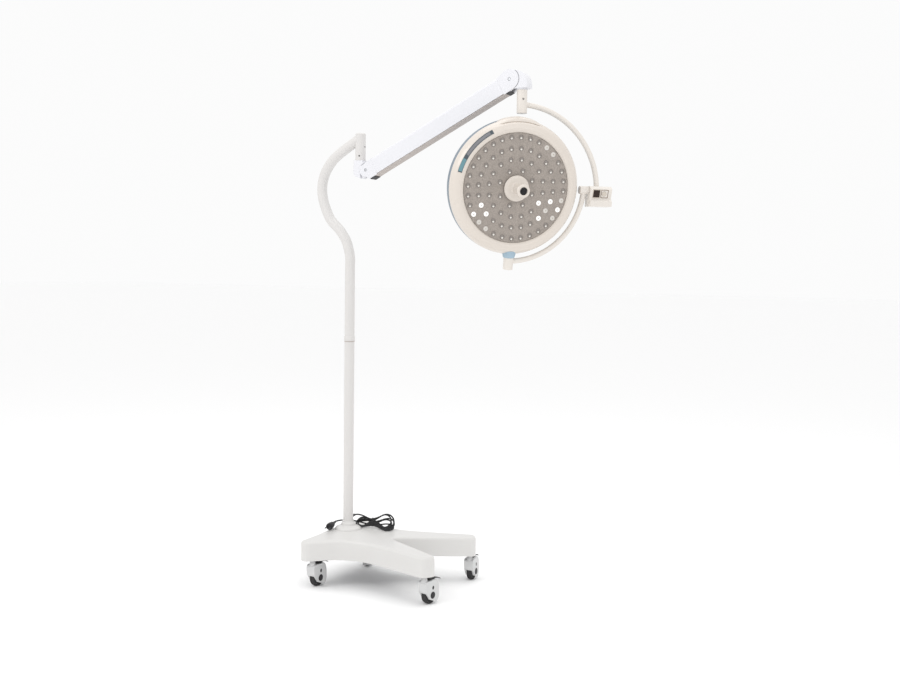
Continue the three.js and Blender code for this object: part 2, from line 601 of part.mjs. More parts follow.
// ---------- head: stays level at the arm's upper pivot, holds the yoke's spindle ----------
const head = frameAt(root, UPPER_PIVOT.x, 0, UPPER_PIVOT.y);
const axisX = LAMP_AXIS_X - UPPER_PIVOT.x;
const HEAD_BOTTOM = -33.5;
const headShape = new THREE.Shape();
headShape.absarc(0, 0, TONGUE_R, 60 * DEG, 300 * DEG, false);
headShape.lineTo(axisX - 21, HEAD_BOTTOM);
headShape.lineTo(axisX + 29, HEAD_BOTTOM);
headShape.lineTo(axisX + 29, -16);
headShape.quadraticCurveTo(axisX + 25, 11, axisX + 9, 22);
headShape.quadraticCurveTo(axisX - 6, 31, axisX - 24, 34.5);
const HEAD_RELIEF_R = FORK_R + 2;
const sleeveTopZ = LAMP_Z + YOKE_SLEEVE.top - UPPER_PIVOT.y;
const headNeck = turnedZ([[0, sleeveTopZ + GAP], [21, sleeveTopZ + GAP], [21, HEAD_BOTTOM + 3],
  [0, HEAD_BOTTOM + 3]], 28).translate(axisX, 0, 0);
const SPINDLE_TOP = -8;
const SPINDLE_DEPTH = 70; // how far the spindle reaches into the yoke's sleeve
add(head, 'head_housing', cut(join(sideCut(headShape, -24, 24, 8), headNeck),
  ...cheekRooms.map(([y0, y1]) => rodY(HEAD_RELIEF_R, y0, y1, 40)), ...pinBores,
  block(-9, 14, -5, 5, -50, -8), block(-50, -9, -5, 5, -50, 4),
  rod(YOKE_SPINDLE_R + GAP, -60, SPINDLE_TOP + GAP, 24).translate(axisX, 0, 0)), armWhite);
add(head, 'yoke_spindle',
  rod(YOKE_SPINDLE_R, sleeveTopZ - SPINDLE_DEPTH, SPINDLE_TOP, 24).translate(axisX, 0, 0), steel);

// ---------- yoke: sleeve, upper arc, control box with its display and button ----------
const yoke = frameAt(root, LAMP_AXIS_X, 0, LAMP_Z);
yoke.rotation.z = YOKE_YAW * DEG;
const sleeveFloor = YOKE_SLEEVE.top - SPINDLE_DEPTH - GAP;
add(yoke, 'yoke_sleeve', turnedZ([[0, YOKE_SLEEVE.bottom], [YOKE_SLEEVE.r - 1, YOKE_SLEEVE.bottom],
  [YOKE_SLEEVE.r, YOKE_SLEEVE.bottom + 1], [YOKE_SLEEVE.r, YOKE_SLEEVE.top],
  [YOKE_SPINDLE_R + GAP, YOKE_SLEEVE.top], [YOKE_SPINDLE_R + GAP, sleeveFloor], [0, sleeveFloor]], 28),
yokeCream);

const BOX_TOP = 14;
const arcInner = ARC_TUBE_R - ARC_TUBE_WALL;
const [ARC_STEPS, ARC_SIDES] = [18, 12];
const upperPath = new ArcXZ(UPPER_ARC_R, Math.asin((BOX_TOP + 3 * GAP) / UPPER_ARC_R), 88.4 * DEG);
add(yoke, 'upper_arc', cut(tubeAlong(upperPath, ARC_TUBE_R, arcInner, ARC_STEPS, ARC_SIDES),
  rod(YOKE_SLEEVE.r + GAP, YOKE_SLEEVE.bottom - 20, YOKE_SLEEVE.top + 20, 28)), yokeCream);

const SHAFT_R = 8;
const PANEL = { top: [-28, 3], bottom: [-17, -30], thick: 1.2 }; // the sloping front, in Y and Z
const panelTilt = Math.atan2(PANEL.bottom[0] - PANEL.top[0], PANEL.top[1] - PANEL.bottom[1]);
function onPanel(geometry) { // from a frame whose -Y looks out of the panel's middle
  return geometry.rotateX(panelTilt).translate(0, (PANEL.top[0] + PANEL.bottom[0]) / 2,
    (PANEL.top[1] + PANEL.bottom[1]) / 2);
}
const BUTTON = { x: 322, r: 9, out: 1.8, back: 2.2, room: 4 };
const DISPLAY = { x0: 279, x1: 304, half: 14, room: 1 };
const boxShape = shapeOf([[26, BOX_TOP], [-18, BOX_TOP], PANEL.top, PANEL.bottom, [-27, -42], [-25, -60],
  [26, -60]]);
add(yoke, 'control_box', cut(endCut(boxShape, BOX.x0, BOX.x1),
  rodX(SHAFT_R + GAP, BOX.x0 - 5, BOX.x0 + 10, 20),
  onPanel(block(DISPLAY.x0 - GAP, DISPLAY.x1 + GAP, -9, DISPLAY.room, -DISPLAY.half - GAP,
    DISPLAY.half + GAP)),
  onPanel(rodY(BUTTON.r + 2 * GAP, -9, BUTTON.room, 24).translate(BUTTON.x, 0, 0))), yokeCream);
add(yoke, 'display_window', onPanel(block(DISPLAY.x0, DISPLAY.x1, -0.5, DISPLAY.room - GAP,
  -DISPLAY.half, DISPLAY.half)), displayBrown);
add(yoke, 'panel_button', onPanel(turnedY([[0, -BUTTON.out], [BUTTON.r - 1, -BUTTON.out],
  [BUTTON.r, -BUTTON.out + 1], [BUTTON.r, BUTTON.back], [0, BUTTON.back]], 24)
  .translate(BUTTON.x, 0, 0)), paleBlue);
add(yoke, 'roll_shaft', rodX(SHAFT_R, BOX.x0 - 22, BOX.x0 + 9, 20), steel);

// ---------- lower yoke: hub on the side joint, lower arc, bottom sleeve ----------
const lowerYoke = frameAt(yoke, LAMP_OFFSET, 0, 0);
lowerYoke.rotation.x = LAMP_ROLL * DEG;
const hubEnd = BOX.x0 - GAP - LAMP_OFFSET;
const BOTTOM_SLEEVE = { r: 18.5, bottom: -303, top: -258.3, bore: 11, depth: 31.7 };
add(lowerYoke, 'roll_hub', cut(rodX(BAR_R, 256, hubEnd, 28),
  rodX(SHAFT_R + GAP, hubEnd - 22, hubEnd + 5, 20)), yokeCream);
const lowerPath = new ArcXZ(LOWER_ARC_R, -2 * DEG, -87.5 * DEG);
add(lowerYoke, 'lower_arc', cut(tubeAlong(lowerPath, ARC_TUBE_R, arcInner, ARC_STEPS, ARC_SIDES),
  rodX(BAR_R + GAP, 230, 320, 28), rod(BOTTOM_SLEEVE.r + GAP, -330, -230, 28)), yokeCream);
const boreFloor = BOTTOM_SLEEVE.top - BOTTOM_SLEEVE.depth;
add(lowerYoke, 'bottom_sleeve', turnedZ([[0, BOTTOM_SLEEVE.bottom],
  [BOTTOM_SLEEVE.r - 1, BOTTOM_SLEEVE.bottom], [BOTTOM_SLEEVE.r, BOTTOM_SLEEVE.bottom + 1],
  [BOTTOM_SLEEVE.r, BOTTOM_SLEEVE.top], [BOTTOM_SLEEVE.bore, BOTTOM_SLEEVE.top],
  [BOTTOM_SLEEVE.bore, boreFloor], [0, boreFloor]], 28), yokeCream);

// ---------- lamp: light leaves along -Y; the profiles are [radius, y] ----------
const lamp = frameAt(lowerYoke, 0, 0, 0);
const LAMP_SEGMENTS = 48;
const RIM_BACK = 6; // where the rim ends and the back shell's wall begins
const rimOuter = [[199, -20], [203, -27], [215, -31], [232, -24], [242, -9], [245, -1],
  [RIM_R, RIM_BACK]];
const rimInner = [[243, RIM_BACK], [241, -1], [236, -8], [226, -19], [214, -25], [206, -21]];
const rimRing = turnedY([...rimOuter, ...rimInner, rimOuter[0]], LAMP_SEGMENTS);
const BULGE = { r: 170, z: 84 }; // a thicker stretch at the top of the rim, to hold it by
const bulge = cut(turnedY([[0, -16], [BULGE.r - 14, -16], [BULGE.r - 5, -8], [BULGE.r, 8],
  [BULGE.r, 22], [BULGE.r - 2, 29.9], [0, 29.9]], LAMP_SEGMENTS).translate(0, 0, BULGE.z),
rodY(RIM_R - 3, -40, RIM_BACK, LAMP_SEGMENTS), rodY(RIM_R + GAP, RIM_BACK - GAP, 60, LAMP_SEGMENTS));
add(lamp, 'rim_ring', join(rimRing, bulge), rimCream);

const rimEnvelope = turnedY([[0, -31.3], [215, -31.4], [232.3, -24.3], [242.3, -9.2],
  [245.3, -1.2], [RIM_R + GAP, RIM_BACK], [RIM_R + GAP, 30], [240.3, 52.4], [0, 52.4]], LAMP_SEGMENTS);
add(lamp, 'lamp_coupling', cut(turnedZ([[0, boreFloor + GAP], [BOTTOM_SLEEVE.bore - 0.4, boreFloor + GAP],
  [BOTTOM_SLEEVE.bore - 0.4, BOTTOM_SLEEVE.top + GAP], [21, BOTTOM_SLEEVE.top + GAP], [24.5, -246],
  [24.5, -228], [0, -228]], 28), rimEnvelope), paleBlue);

add(lamp, 'back_shell', turnedY([[0, 84], [160, 80], [215, 68], [238, 52], [RIM_R, 30],
  [RIM_R, RIM_BACK + GAP], [243, RIM_BACK + GAP], [243, 29], [235.2, 50.5], [213, 65.2], [159, 77],
  [0, 81]], LAMP_SEGMENTS), backBlueGrey);

const PLATE = { front: -22, back: -19, hole: 14 };
const plateShape = ringShape(LENS_R - 1 - GAP, PLATE.hole, LAMP_SEGMENTS);
const DOME_SIDES = 6;
const DOME_RISE = 3;
const domeProfile = [[0, -DOME_RISE], [LED_LENS_R, 0], [LED_LENS_R, 1], [0, 1]];
const domeRings = LED_RINGS.flatMap(({ count, radius }) => Array.from({ length: count }, (_, i) => {
  const a = ((i + 0.5) / count) * FULL + LED_TURN * DEG;
  return turnedY(domeProfile, DOME_SIDES)
    .translate(radius * Math.cos(a), PLATE.front, radius * Math.sin(a));
}));
add(lamp, 'lens_plate', join(sideCut(plateShape, PLATE.front, PLATE.back), ...domeRings), lensTaupe);
add(lamp, 'led_board', sideCut(ringShape(226.5, PLATE.hole, LAMP_SEGMENTS), -16, -14), boardGreen);
add(lamp, 'handle_socket', turnedY([[HANDLE_SOCKET_R - 3, -70], [HANDLE_SOCKET_R, -70],
  [HANDLE_SOCKET_R, 20], [HANDLE_SOCKET_R - 3, 20], [HANDLE_SOCKET_R - 3, -70]], 24), steel);

const slope = new THREE.Vector2(17, 7).normalize(); // the rim's front face, outwards and back
const strip = { r0: 217, r1: 231, from: 118, to: 167, lift: GAP, thick: 1.2 };
const onSlope = (r, lift) => [r + slope.y * lift, -31 + ((r - 215) * slope.y) / slope.x
  - slope.x * lift];
const stripBand = turnedY([onSlope(strip.r0, strip.lift), onSlope(strip.r1, strip.lift),
  onSlope(strip.r1, strip.lift + strip.thick), onSlope(strip.r0, strip.lift + strip.thick),
  onSlope(strip.r0, strip.lift)], 96);
const stripWedge = sideCut(shapeOf([[0, 0], ...[strip.from, (strip.from + strip.to) / 2, strip.to]
  .map((a) => [400 * Math.cos(a * DEG), 400 * Math.sin(a * DEG)])]), -60, 0);
add(lamp, 'trim_strip', common(stripBand, stripWedge), stripTeal);

// ---------- sterile handle: slides off the socket along the lamp's axis ----------
const handleBore = HANDLE_SOCKET_R + GAP;
add(lamp, 'handle_grip', turnedY([[0, -75], [handleBore, -75], [handleBore, -26], [47.5, -26],
  [47.5, -29], [44, -33], [22, -34], [18, -40], [17, -70], [19, -84], [25, -92], [25, -104],
  [21, -108], [14.5, -108], [14.5, -98], [0, -98]], 24), rimCream);

// ---------- mains cord: gland on the back of the column, hank on the hub, plug ----------
const GLAND_END = 50.3;
add(root, 'cord_gland', turnedY([[0, COLUMN_R - 2.5], [CORD_R + 1.2, COLUMN_R - 2.5],
  [CORD_R + 1.2, COLUMN_R + 0.5], [9, COLUMN_R + 0.5], [9, COLUMN_R + 4], [6, COLUMN_R + 7],
  [CORD_R + 1, GLAND_END], [0, GLAND_END]], 20).translate(0, 0, CORD_EXIT_Z), darkPlastic);

const HANK = { x: 84, y: 86, z: 194.7, length: 150, width: 48, thick: 43.6, turn: 20 * DEG };
function cordTube(points, steps) {
  const curve = new THREE.CatmullRomCurve3(points.map((p) => new THREE.Vector3(...p)), false,
    'centripetal');
  return tubeAlong(curve, CORD_R, 0, steps, 8);
}
const hankShape = new THREE.Shape();
const hankEnd = (HANK.length - HANK.width) / 2;
hankShape.absarc(hankEnd, 0, HANK.width / 2, -Math.PI / 2, Math.PI / 2, false);
hankShape.absarc(-hankEnd, 0, HANK.width / 2, Math.PI / 2, 1.5 * Math.PI, false);
add(root, 'cord_hank', new THREE.ExtrudeGeometry(hankShape, {
  depth: HANK.thick, bevelEnabled: false, curveSegments: 12,
}).rotateZ(HANK.turn).translate(HANK.x, HANK.y, HANK.z), cordBlack);

const hankTop = HANK.z + HANK.thick + GAP + CORD_R;
add(root, 'mains_cord_column', cordTube([[0, GLAND_END + GAP, CORD_EXIT_Z], [1, 60, CORD_EXIT_Z],
  [9, 70.5, CORD_EXIT_Z], [20, 77.5, CORD_EXIT_Z], [34, 80.5, hankTop], [50, 81, hankTop]], 16), cordBlack);

const plug = { head: new THREE.Vector3(-52, -60, 207), end: new THREE.Vector3(-64, 6, 215) };
const plugAxis = plug.end.clone().sub(plug.head);
const plugLength = plugAxis.length();
const plugBlank = turnedY([[0, 0], [13, 0], [14, 2], [14, 16], [11, 34], [6, 42], [CORD_R + 2, 46],
  [CORD_R + 1, plugLength], [0, plugLength]], 24);
const plugPins = [-9.5, 9.5].map((x) => rodY(2.4, -19, 3, 12).translate(x, 0, 0));
add(root, 'mains_plug', join(plugBlank, ...plugPins)
  .applyQuaternion(new THREE.Quaternion().setFromUnitVectors(new THREE.Vector3(0, 1, 0),
    plugAxis.clone().normalize())).translate(...plug.head.toArray()), cordBlack);

const along = plugAxis.clone().normalize();
const plugStart = plug.end.clone().addScaledVector(along, GAP);
const besideHank = (gap) => [HANK.x - (HANK.length / 2 + gap) * Math.cos(HANK.turn),
  HANK.y - (HANK.length / 2 + gap) * Math.sin(HANK.turn)];
add(root, 'mains_cord_plug', cordTube([plugStart.toArray(),
  plugStart.clone().addScaledVector(along, 12).toArray(), [-64, 36, 219], [-48, 52, 221],
  [-24, 57, 219], [...besideHank(14), 211], [...besideHank(2 * GAP), 209.5]], 20), cordBlack);

// ---------- origin to the middle of the footprint, without the cord ----------
root.updateMatrixWorld(true);
const bounds = new THREE.Box3();
root.traverse((node) => {
  const corded = /cord|plug/.test(node.name);
  if (node.isMesh && !corded) bounds.expandByObject(node, true);
});
const shift = new THREE.Vector3(
  -(bounds.min.x + bounds.max.x) / 2, -(bounds.min.y + bounds.max.y) / 2, -bounds.min.z,
);
root.children.forEach((child) => child.position.add(shift));

export default root;
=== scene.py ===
import math

import bpy
from mathutils import Matrix, Vector


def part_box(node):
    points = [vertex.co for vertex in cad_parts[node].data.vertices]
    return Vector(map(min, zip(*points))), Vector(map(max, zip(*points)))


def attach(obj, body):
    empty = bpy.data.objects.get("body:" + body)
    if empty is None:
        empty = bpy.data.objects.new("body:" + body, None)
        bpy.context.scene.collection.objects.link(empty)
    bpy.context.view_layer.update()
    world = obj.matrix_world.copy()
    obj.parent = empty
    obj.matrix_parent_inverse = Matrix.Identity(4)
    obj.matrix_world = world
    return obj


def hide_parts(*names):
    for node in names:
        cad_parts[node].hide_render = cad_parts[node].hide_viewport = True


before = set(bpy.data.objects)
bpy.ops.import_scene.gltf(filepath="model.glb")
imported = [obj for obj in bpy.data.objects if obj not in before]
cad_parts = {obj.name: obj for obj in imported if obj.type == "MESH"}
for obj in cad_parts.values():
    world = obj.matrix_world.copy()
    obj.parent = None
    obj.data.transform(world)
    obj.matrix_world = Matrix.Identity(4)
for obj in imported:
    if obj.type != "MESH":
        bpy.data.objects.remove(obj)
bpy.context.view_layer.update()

DEG = math.pi / 180


def mid(node):
    low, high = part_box(node)
    return (Vector(low) + Vector(high)) / 2


# ---------- frames ----------
COLUMN = mid("column_lower")
BASE = Matrix.Translation((COLUMN.x, COLUMN.y, 0)) @ Matrix.Scale(0.001, 4)


def shifted(x, y, z):
    return Matrix.Translation((x, y, z))


def turned(angle, axis):
    return Matrix.Rotation(angle * DEG, 4, axis)


LAMP_AXIS_X = 735
LAMP_Z = 1547
YOKE = BASE @ shifted(LAMP_AXIS_X, 0, LAMP_Z) @ turned(43.6, "Z")
LAMP = YOKE @ shifted(-24, 0, 0) @ turned(11, "X")  # light leaves along its -Y
LOWER = LAMP.copy()  # the lower yoke's frame, the same at rest
CASTERS = [(458, -187, 81), (458, 187, 98), (-32, -204, 86), (-32, 204, -60)]
CASTER_FRAMES = [BASE @ shifted(x, y, 0) @ turned(trail, "Z") for x, y, trail in CASTERS]


def linked(name, data):
    made = bpy.data.objects.new(name, data)
    bpy.context.scene.collection.objects.link(made)
    return made


# ---------- camera ----------
CAMERA_PLACE = (2400, -3722, 1241)
CAMERA_AZIMUTH, CAMERA_PITCH, CAMERA_ROLL = 27.6, 4.1, 0.8
CAMERA_LENS = 44.2


def look():
    azimuth, pitch, roll = CAMERA_AZIMUTH * DEG, CAMERA_PITCH * DEG, CAMERA_ROLL * DEG
    side = Vector((math.cos(azimuth), math.sin(azimuth), 0))
    level = Vector((-math.sin(azimuth), math.cos(azimuth), 0))
    ahead = level * math.cos(pitch) - Vector((0, 0, math.sin(pitch)))
    above = level * math.sin(pitch) + Vector((0, 0, math.cos(pitch)))
    right = side * math.cos(roll) + above * math.sin(roll)
    up = above * math.cos(roll) - side * math.sin(roll)
    data = bpy.data.cameras.new("camera")
    data.sensor_width = 36
    data.lens = CAMERA_LENS
    camera = linked("camera", data)
    place = BASE @ Vector(CAMERA_PLACE)
    camera.matrix_world = Matrix((
        (right.x, up.x, -ahead.x, place.x),
        (right.y, up.y, -ahead.y, place.y),
        (right.z, up.z, -ahead.z, place.z),
        (0, 0, 0, 1),
    ))
    bpy.context.scene.camera = camera


look()


# ---------- materials ----------
def shader(name, color, roughness, metallic=0.0, **extra):
    material = bpy.data.materials.new(name)
    material.use_nodes = True
    nodes = material.node_tree.nodes
    principled = nodes["Principled BSDF"]
    principled.inputs["Base Color"].default_value = (*color, 1)
    principled.inputs["Roughness"].default_value = roughness
    principled.inputs["Metallic"].default_value = metallic
    for socket, value in extra.items():
        principled.inputs[socket.replace("_", " ")].default_value = value
    material.diffuse_color = (*color, 1)
    return material, nodes, material.node_tree.links, principled


def grained(name, color, roughness, size, depth, metallic=0.0, vary=0.03, stretch=(1, 1, 1),
            fleck=0.0, **extra):
    """A surface with a fine grain: size is the grain in metres and depth its height in metres. Its
    colour varies by vary in broad clouds, and by fleck with the grain."""
    material, nodes, links, principled = shader(name, color, roughness, metallic, **extra)
    where = nodes.new("ShaderNodeTexCoord")
    scale = nodes.new("ShaderNodeMapping")
    scale.inputs["Scale"].default_value = stretch
    links.new(where.outputs["Object"], scale.inputs["Vector"])
    grain = nodes.new("ShaderNodeTexNoise")
    grain.inputs["Scale"].default_value = 1 / size
    grain.inputs["Detail"].default_value = 3
    links.new(scale.outputs["Vector"], grain.inputs["Vector"])
    bump = nodes.new("ShaderNodeBump")
    bump.inputs["Strength"].default_value = 1
    bump.inputs["Distance"].default_value = depth
    links.new(grain.outputs["Fac"], bump.inputs["Height"])
    links.new(bump.outputs["Normal"], principled.inputs["Normal"])
    cloud = nodes.new("ShaderNodeTexNoise")
    cloud.inputs["Scale"].default_value = 14
    cloud.inputs["Detail"].default_value = 4
    links.new(where.outputs["Object"], cloud.inputs["Vector"])
    tint = nodes.new("ShaderNodeMix")
    tint.data_type = "RGBA"
    tint.inputs["A"].default_value = (*[c * (1 - vary) for c in color], 1)
    tint.inputs["B"].default_value = (*[min(1, c * (1 + vary)) for c in color], 1)
    links.new(cloud.outputs["Fac"], tint.inputs["Factor"])
    links.new(tint.outputs["Result"], principled.inputs["Base Color"])
    if fleck:
        shade = nodes.new("ShaderNodeMix")
        shade.data_type = "RGBA"
        shade.blend_type = "MULTIPLY"
        shade.inputs["Factor"].default_value = 1
        level = nodes.new("ShaderNodeMapRange")
        level.inputs["From Min"].default_value = 0.3
        level.inputs["From Max"].default_value = 0.7
        level.inputs["To Min"].default_value = 1 - fleck
        level.inputs["To Max"].default_value = 1 + fleck
        links.new(grain.outputs["Fac"], level.inputs["Value"])
        links.new(tint.outputs["Result"], shade.inputs["A"])
        links.new(level.outputs["Result"], shade.inputs["B"])
        links.new(shade.outputs["Result"], principled.inputs["Base Color"])
    dull = nodes.new("ShaderNodeMapRange")
    dull.inputs["To Min"].default_value = max(0, roughness - 0.05)
    dull.inputs["To Max"].default_value = min(1, roughness + 0.05)
    links.new(cloud.outputs["Fac"], dull.inputs["Value"])
    links.new(dull.outputs["Result"], principled.inputs["Roughness"])
    return material


SHELL = grained("moulded_shell", (0.665, 0.655, 0.64), 0.34, 0.0012, 0.00004, vary=0.012)
POST = grained("post_paint", (0.655, 0.638, 0.624), 0.36, 0.0018, 0.00003, vary=0.012)
ARM_PAINT = grained("arm_paint", (0.735, 0.735, 0.765), 0.3, 0.0018, 0.00003, vary=0.01)
YOKE_PAINT = grained("yoke_paint", (0.735, 0.69, 0.64), 0.34, 0.0018, 0.00003, vary=0.012)
RIM = grained("rim_gloss", (0.68, 0.62, 0.56), 0.28, 0.003, 0.00003, vary=0.012, Coat_Weight=0.25,
              Coat_Roughness=0.12)
BACK = grained("back_cover", (0.19, 0.235, 0.28), 0.4, 0.0014, 0.00004, vary=0.02)
PALE_BLUE = grained("pale_blue", (0.34, 0.46, 0.55), 0.4, 0.0012, 0.00003, vary=0.02)
PLATE = grained("lens_plate", (0.33, 0.29, 0.258), 0.42, 0.004, 0.0002, vary=0.1, fleck=0.22)
LENS = grained("lens", (0.21, 0.185, 0.165), 0.12, 0.004, 0.00002, vary=0.04, Coat_Weight=0.6,
               Coat_Roughness=0.05)
# painted glint: the pale colour of the small disc inside each plain lens stands in for a highlight
LENS_PAINTED_GLINT = grained("lens_painted_glint", (0.74, 0.71, 0.66), 0.25, 0.002, 0.00002, vary=0.04)
# painted reflection: pale lenses standing in for a partial reflection of the studio lights, not a
# frosted finish
LENS_HALF_PAINTED_REFLECTION = grained("lens_half_painted_reflection", (0.64, 0.61, 0.57), 0.25, 0.004, 0.00002, vary=0.01)
# painted reflection: near-white lenses with a faint glow, standing in for the studio lights reflected
# in them
LENS_PAINTED_REFLECTION = grained("lens_painted_reflection", (1.0, 0.99, 0.97), 0.2, 0.004, 0.00002, vary=0.005,
                   Emission_Color=(1, 0.985, 0.95, 1), Emission_Strength=0.12)
CHIP = grained("led_chip", (0.42, 0.39, 0.33), 0.5, 0.0008, 0.00003, vary=0.05)
STRIP_GREY = grained("arm_underside", (0.49, 0.44, 0.41), 0.6, 0.0015, 0.00006, vary=0.04)
DARK = grained("dark_plastic", (0.022, 0.021, 0.023), 0.5, 0.001, 0.00005, vary=0.1,
               Specular_IOR_Level=0.3)
CASTER = grained("caster_housing", (0.60, 0.60, 0.60), 0.42, 0.001, 0.00005, vary=0.02)
TYRE = grained("tyre", (0.032, 0.031, 0.032), 0.75, 0.0009, 0.00008, vary=0.1,
               Specular_IOR_Level=0.3)
DISPLAY = grained("display", (0.022, 0.010, 0.006), 0.2, 0.004, 0.00001, vary=0.1,
                  Specular_IOR_Level=0.3)
IRON = grained("cast_iron", (0.09, 0.092, 0.1), 0.7, 0.0022, 0.00025, metallic=0.75, vary=0.15)
STEEL = grained("steel", (0.55, 0.56, 0.58), 0.3, 0.0006, 0.00002, metallic=1.0, vary=0.03,
                stretch=(1, 1, 12))
BOARD = grained("led_board", (0.8, 0.82, 0.8), 0.5, 0.001, 0.00003, vary=0.02)
LABEL_DARK = grained("label_dark", (0.065, 0.085, 0.10), 0.35, 0.003, 0.00001, vary=0.15)
LABEL_GREY = grained("label_grey", (0.20, 0.20, 0.215), 0.35, 0.003, 0.00001, vary=0.12)
LABEL_TEAL = grained("label_teal", (0.13, 0.27, 0.31), 0.35, 0.003, 0.00001, vary=0.12)
PANEL = grained("panel_film", (0.52, 0.46, 0.40), 0.35, 0.003, 0.00001, vary=0.02)
PANEL_EDGE = grained("panel_edge", (0.20, 0.145, 0.105), 0.35, 0.003, 0.00001, vary=0.04)
BUTTON = grained("button_cream", (0.60, 0.54, 0.47), 0.3, 0.0012, 0.00003, vary=0.02)
CORD = grained("cord_sheath", (0.010, 0.010, 0.011), 0.5, 0.0008, 0.00004, vary=0.15)
FLOOR = grained("floor", (0.99, 0.99, 0.99), 0.9, 0.02, 0.00005, vary=0.002)


# ---------- shape helpers ----------
def piece(name, verts, faces, place, material, body, slot, replaced=(), sharp=35):
    """A closed mesh in millimetres in the frame `place`, put into the row frame."""
    mesh = bpy.data.meshes.new(name)
    mesh.from_pydata([place @ Vector(v) for v in verts], [], faces)
    mesh.validate()
    mesh.materials.append(material)
    made = linked(name, mesh)
    smooth(made, sharp)
    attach(made, body)
    if replaced:
        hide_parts(*replaced)
    return made


def smooth(thing, sharp=35):
    mesh = thing.data
    mesh.shade_smooth()
    if sharp < 180:
        mesh.set_sharp_from_angle(angle=sharp * DEG)


def bevel(thing, width, segments):
    """Rounds the edges of a faceted part: width in millimetres."""
    flat = thing.modifiers.new("flat", "DECIMATE")
    flat.decimate_type = "DISSOLVE"
    flat.angle_limit = 1 * DEG
    edge = thing.modifiers.new("edge", "BEVEL")
    edge.width = width / 1000
    edge.segments = segments
    edge.limit_method = "ANGLE"
    edge.angle_limit = 30 * DEG
    edge.harden_normals = True


def dress(node, material, width=0.0, segments=2, sharp=35):
    """A CAD node that stays: its material, smooth shading and, if width is given, rounded edges."""
    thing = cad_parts[node]
    for at in range(len(thing.material_slots)):
        thing.material_slots[at].link = "OBJECT"
        thing.material_slots[at].material = material
    smooth(thing, sharp)
    if width:
        bevel(thing, width, segments)


def rounded(points, radius, steps=4, closed=False):
    """The same outline with each corner turned into an arc of at most that radius."""
    made = []
    count = len(points)
    for i, point in enumerate(points):
        if not closed and i in (0, count - 1):
            made.append(tuple(point))
            continue
        here = Vector(point)
        before = Vector(points[i - 1]) - here
        after = Vector(points[(i + 1) % count]) - here
        reach = min(radius, before.length * 0.45, after.length * 0.45)
        start = here + before.normalized() * reach
        end = here + after.normalized() * reach
        for k in range(steps + 1):
            t = k / steps
            made.append(tuple(start * (1 - t) ** 2 + here * 2 * t * (1 - t) + end * t ** 2))
    return made


def lathe(profile, segments=64, axis="Z"):
    """Turns (radius, height) points about an axis. The profile starts and ends on the axis, or it
    is a closed ring."""
    on_axis = profile[0][0] == 0 and profile[-1][0] == 0
    rows = profile[1:-1] if on_axis else profile
    verts = []
    faces = []
    for s in range(segments):
        angle = 2 * math.pi * s / segments
        for radius, height in rows:
            across = (radius * math.cos(angle), radius * math.sin(angle))
            verts.append((across[0], across[1], height) if axis == "Z" else
                         (across[0], height, across[1]))
    size = len(rows)
    for s in range(segments):
        a, b = s * size, (s + 1) % segments * size
        for i in range(size - 1 if on_axis else size):
            j = (i + 1) % size
            faces.append((a + i, b + i, b + j, a + j))
    if on_axis:
        for row, height, flip in ((0, profile[0][1], True), (size - 1, profile[-1][1], False)):
            hub = len(verts)
            verts.append((0, 0, height) if axis == "Z" else (0, height, 0))
            for s in range(segments):
                a, b = s * size + row, (s + 1) % segments * size + row
                faces.append((hub, b, a) if flip else (hub, a, b))
    if axis == "Y":
        faces = [face[::-1] for face in faces]
    area = sum(p[0] * q[1] - q[0] * p[1] for p, q in zip(profile, profile[1:] + profile[:1]))
    if area < 0:
        faces = [face[::-1] for face in faces]
    return verts, faces


def catmull(points, steps):
    """Smooth points through the given ones."""
    points = [Vector(p) for p in points]
    count = len(points)
    made = []
    for i in range(count - 1):
        p1, p2 = points[i], points[i + 1]
        p0 = points[i - 1] if i else p1 * 2 - p2
        p3 = points[i + 2] if i + 2 < count else p2 * 2 - p1
        for k in range(steps):
            t = k / steps
            made.append(0.5 * (2 * p1 + (p2 - p0) * t + (2 * p0 - 5 * p1 + 4 * p2 - p3) * t * t
                               + (3 * p1 - p0 - 3 * p2 + p3) * t ** 3))
    made.append(points[-1])
    return made


def eased(points, spacing, rounds):
    """Evenly spaced points on the same line, with its tight bends opened. Both ends stay."""
    lengths = [0]
    for a, b in zip(points, points[1:]):
        lengths.append(lengths[-1] + (b - a).length)
    count = round(lengths[-1] / spacing)
    made = []
    at = 0
    for i in range(count + 1):
        want = lengths[-1] * i / count
        while at < len(points) - 2 and lengths[at + 1] < want:
            at += 1
        part = (want - lengths[at]) / (lengths[at + 1] - lengths[at])
        made.append(points[at].lerp(points[at + 1], part))
    for _ in range(rounds):
        middle = [(a + 2 * b + c) / 4 for a, b, c in zip(made, made[1:], made[2:])]
        made = made[:3] + middle[2:-2] + made[-3:]
    return made


def sweep(points, radius, sides=32):
    """A round bar along points, closed at both ends."""
    points = [Vector(p) for p in points]
    verts = []
    faces = []
    normal = Vector((0, 1, 0))
    for i, point in enumerate(points):
        ahead = (points[min(i + 1, len(points) - 1)] - points[max(i - 1, 0)]).normalized()
        normal = (normal - ahead * normal.dot(ahead)).normalized()
        other = ahead.cross(normal)
        for s in range(sides):
            angle = 2 * math.pi * s / sides
            verts.append(point + (normal * math.cos(angle) + other * math.sin(angle)) * radius)
    for i in range(len(points) - 1):
        for s in range(sides):
            a, b = i * sides + s, i * sides + (s + 1) % sides
            faces.append((a, b, b + sides, a + sides))
    faces.append(tuple(range(sides))[::-1])
    faces.append(tuple(range((len(points) - 1) * sides, len(points) * sides)))
    return verts, faces


def arc_points(radius, start, end, steps=110):
    """Points of a circle in the XZ plane, from start to end degrees."""
    angles = [(start + (end - start) * i / steps) * DEG for i in range(steps + 1)]
    return [(radius * math.cos(angle), 0, radius * math.sin(angle)) for angle in angles]


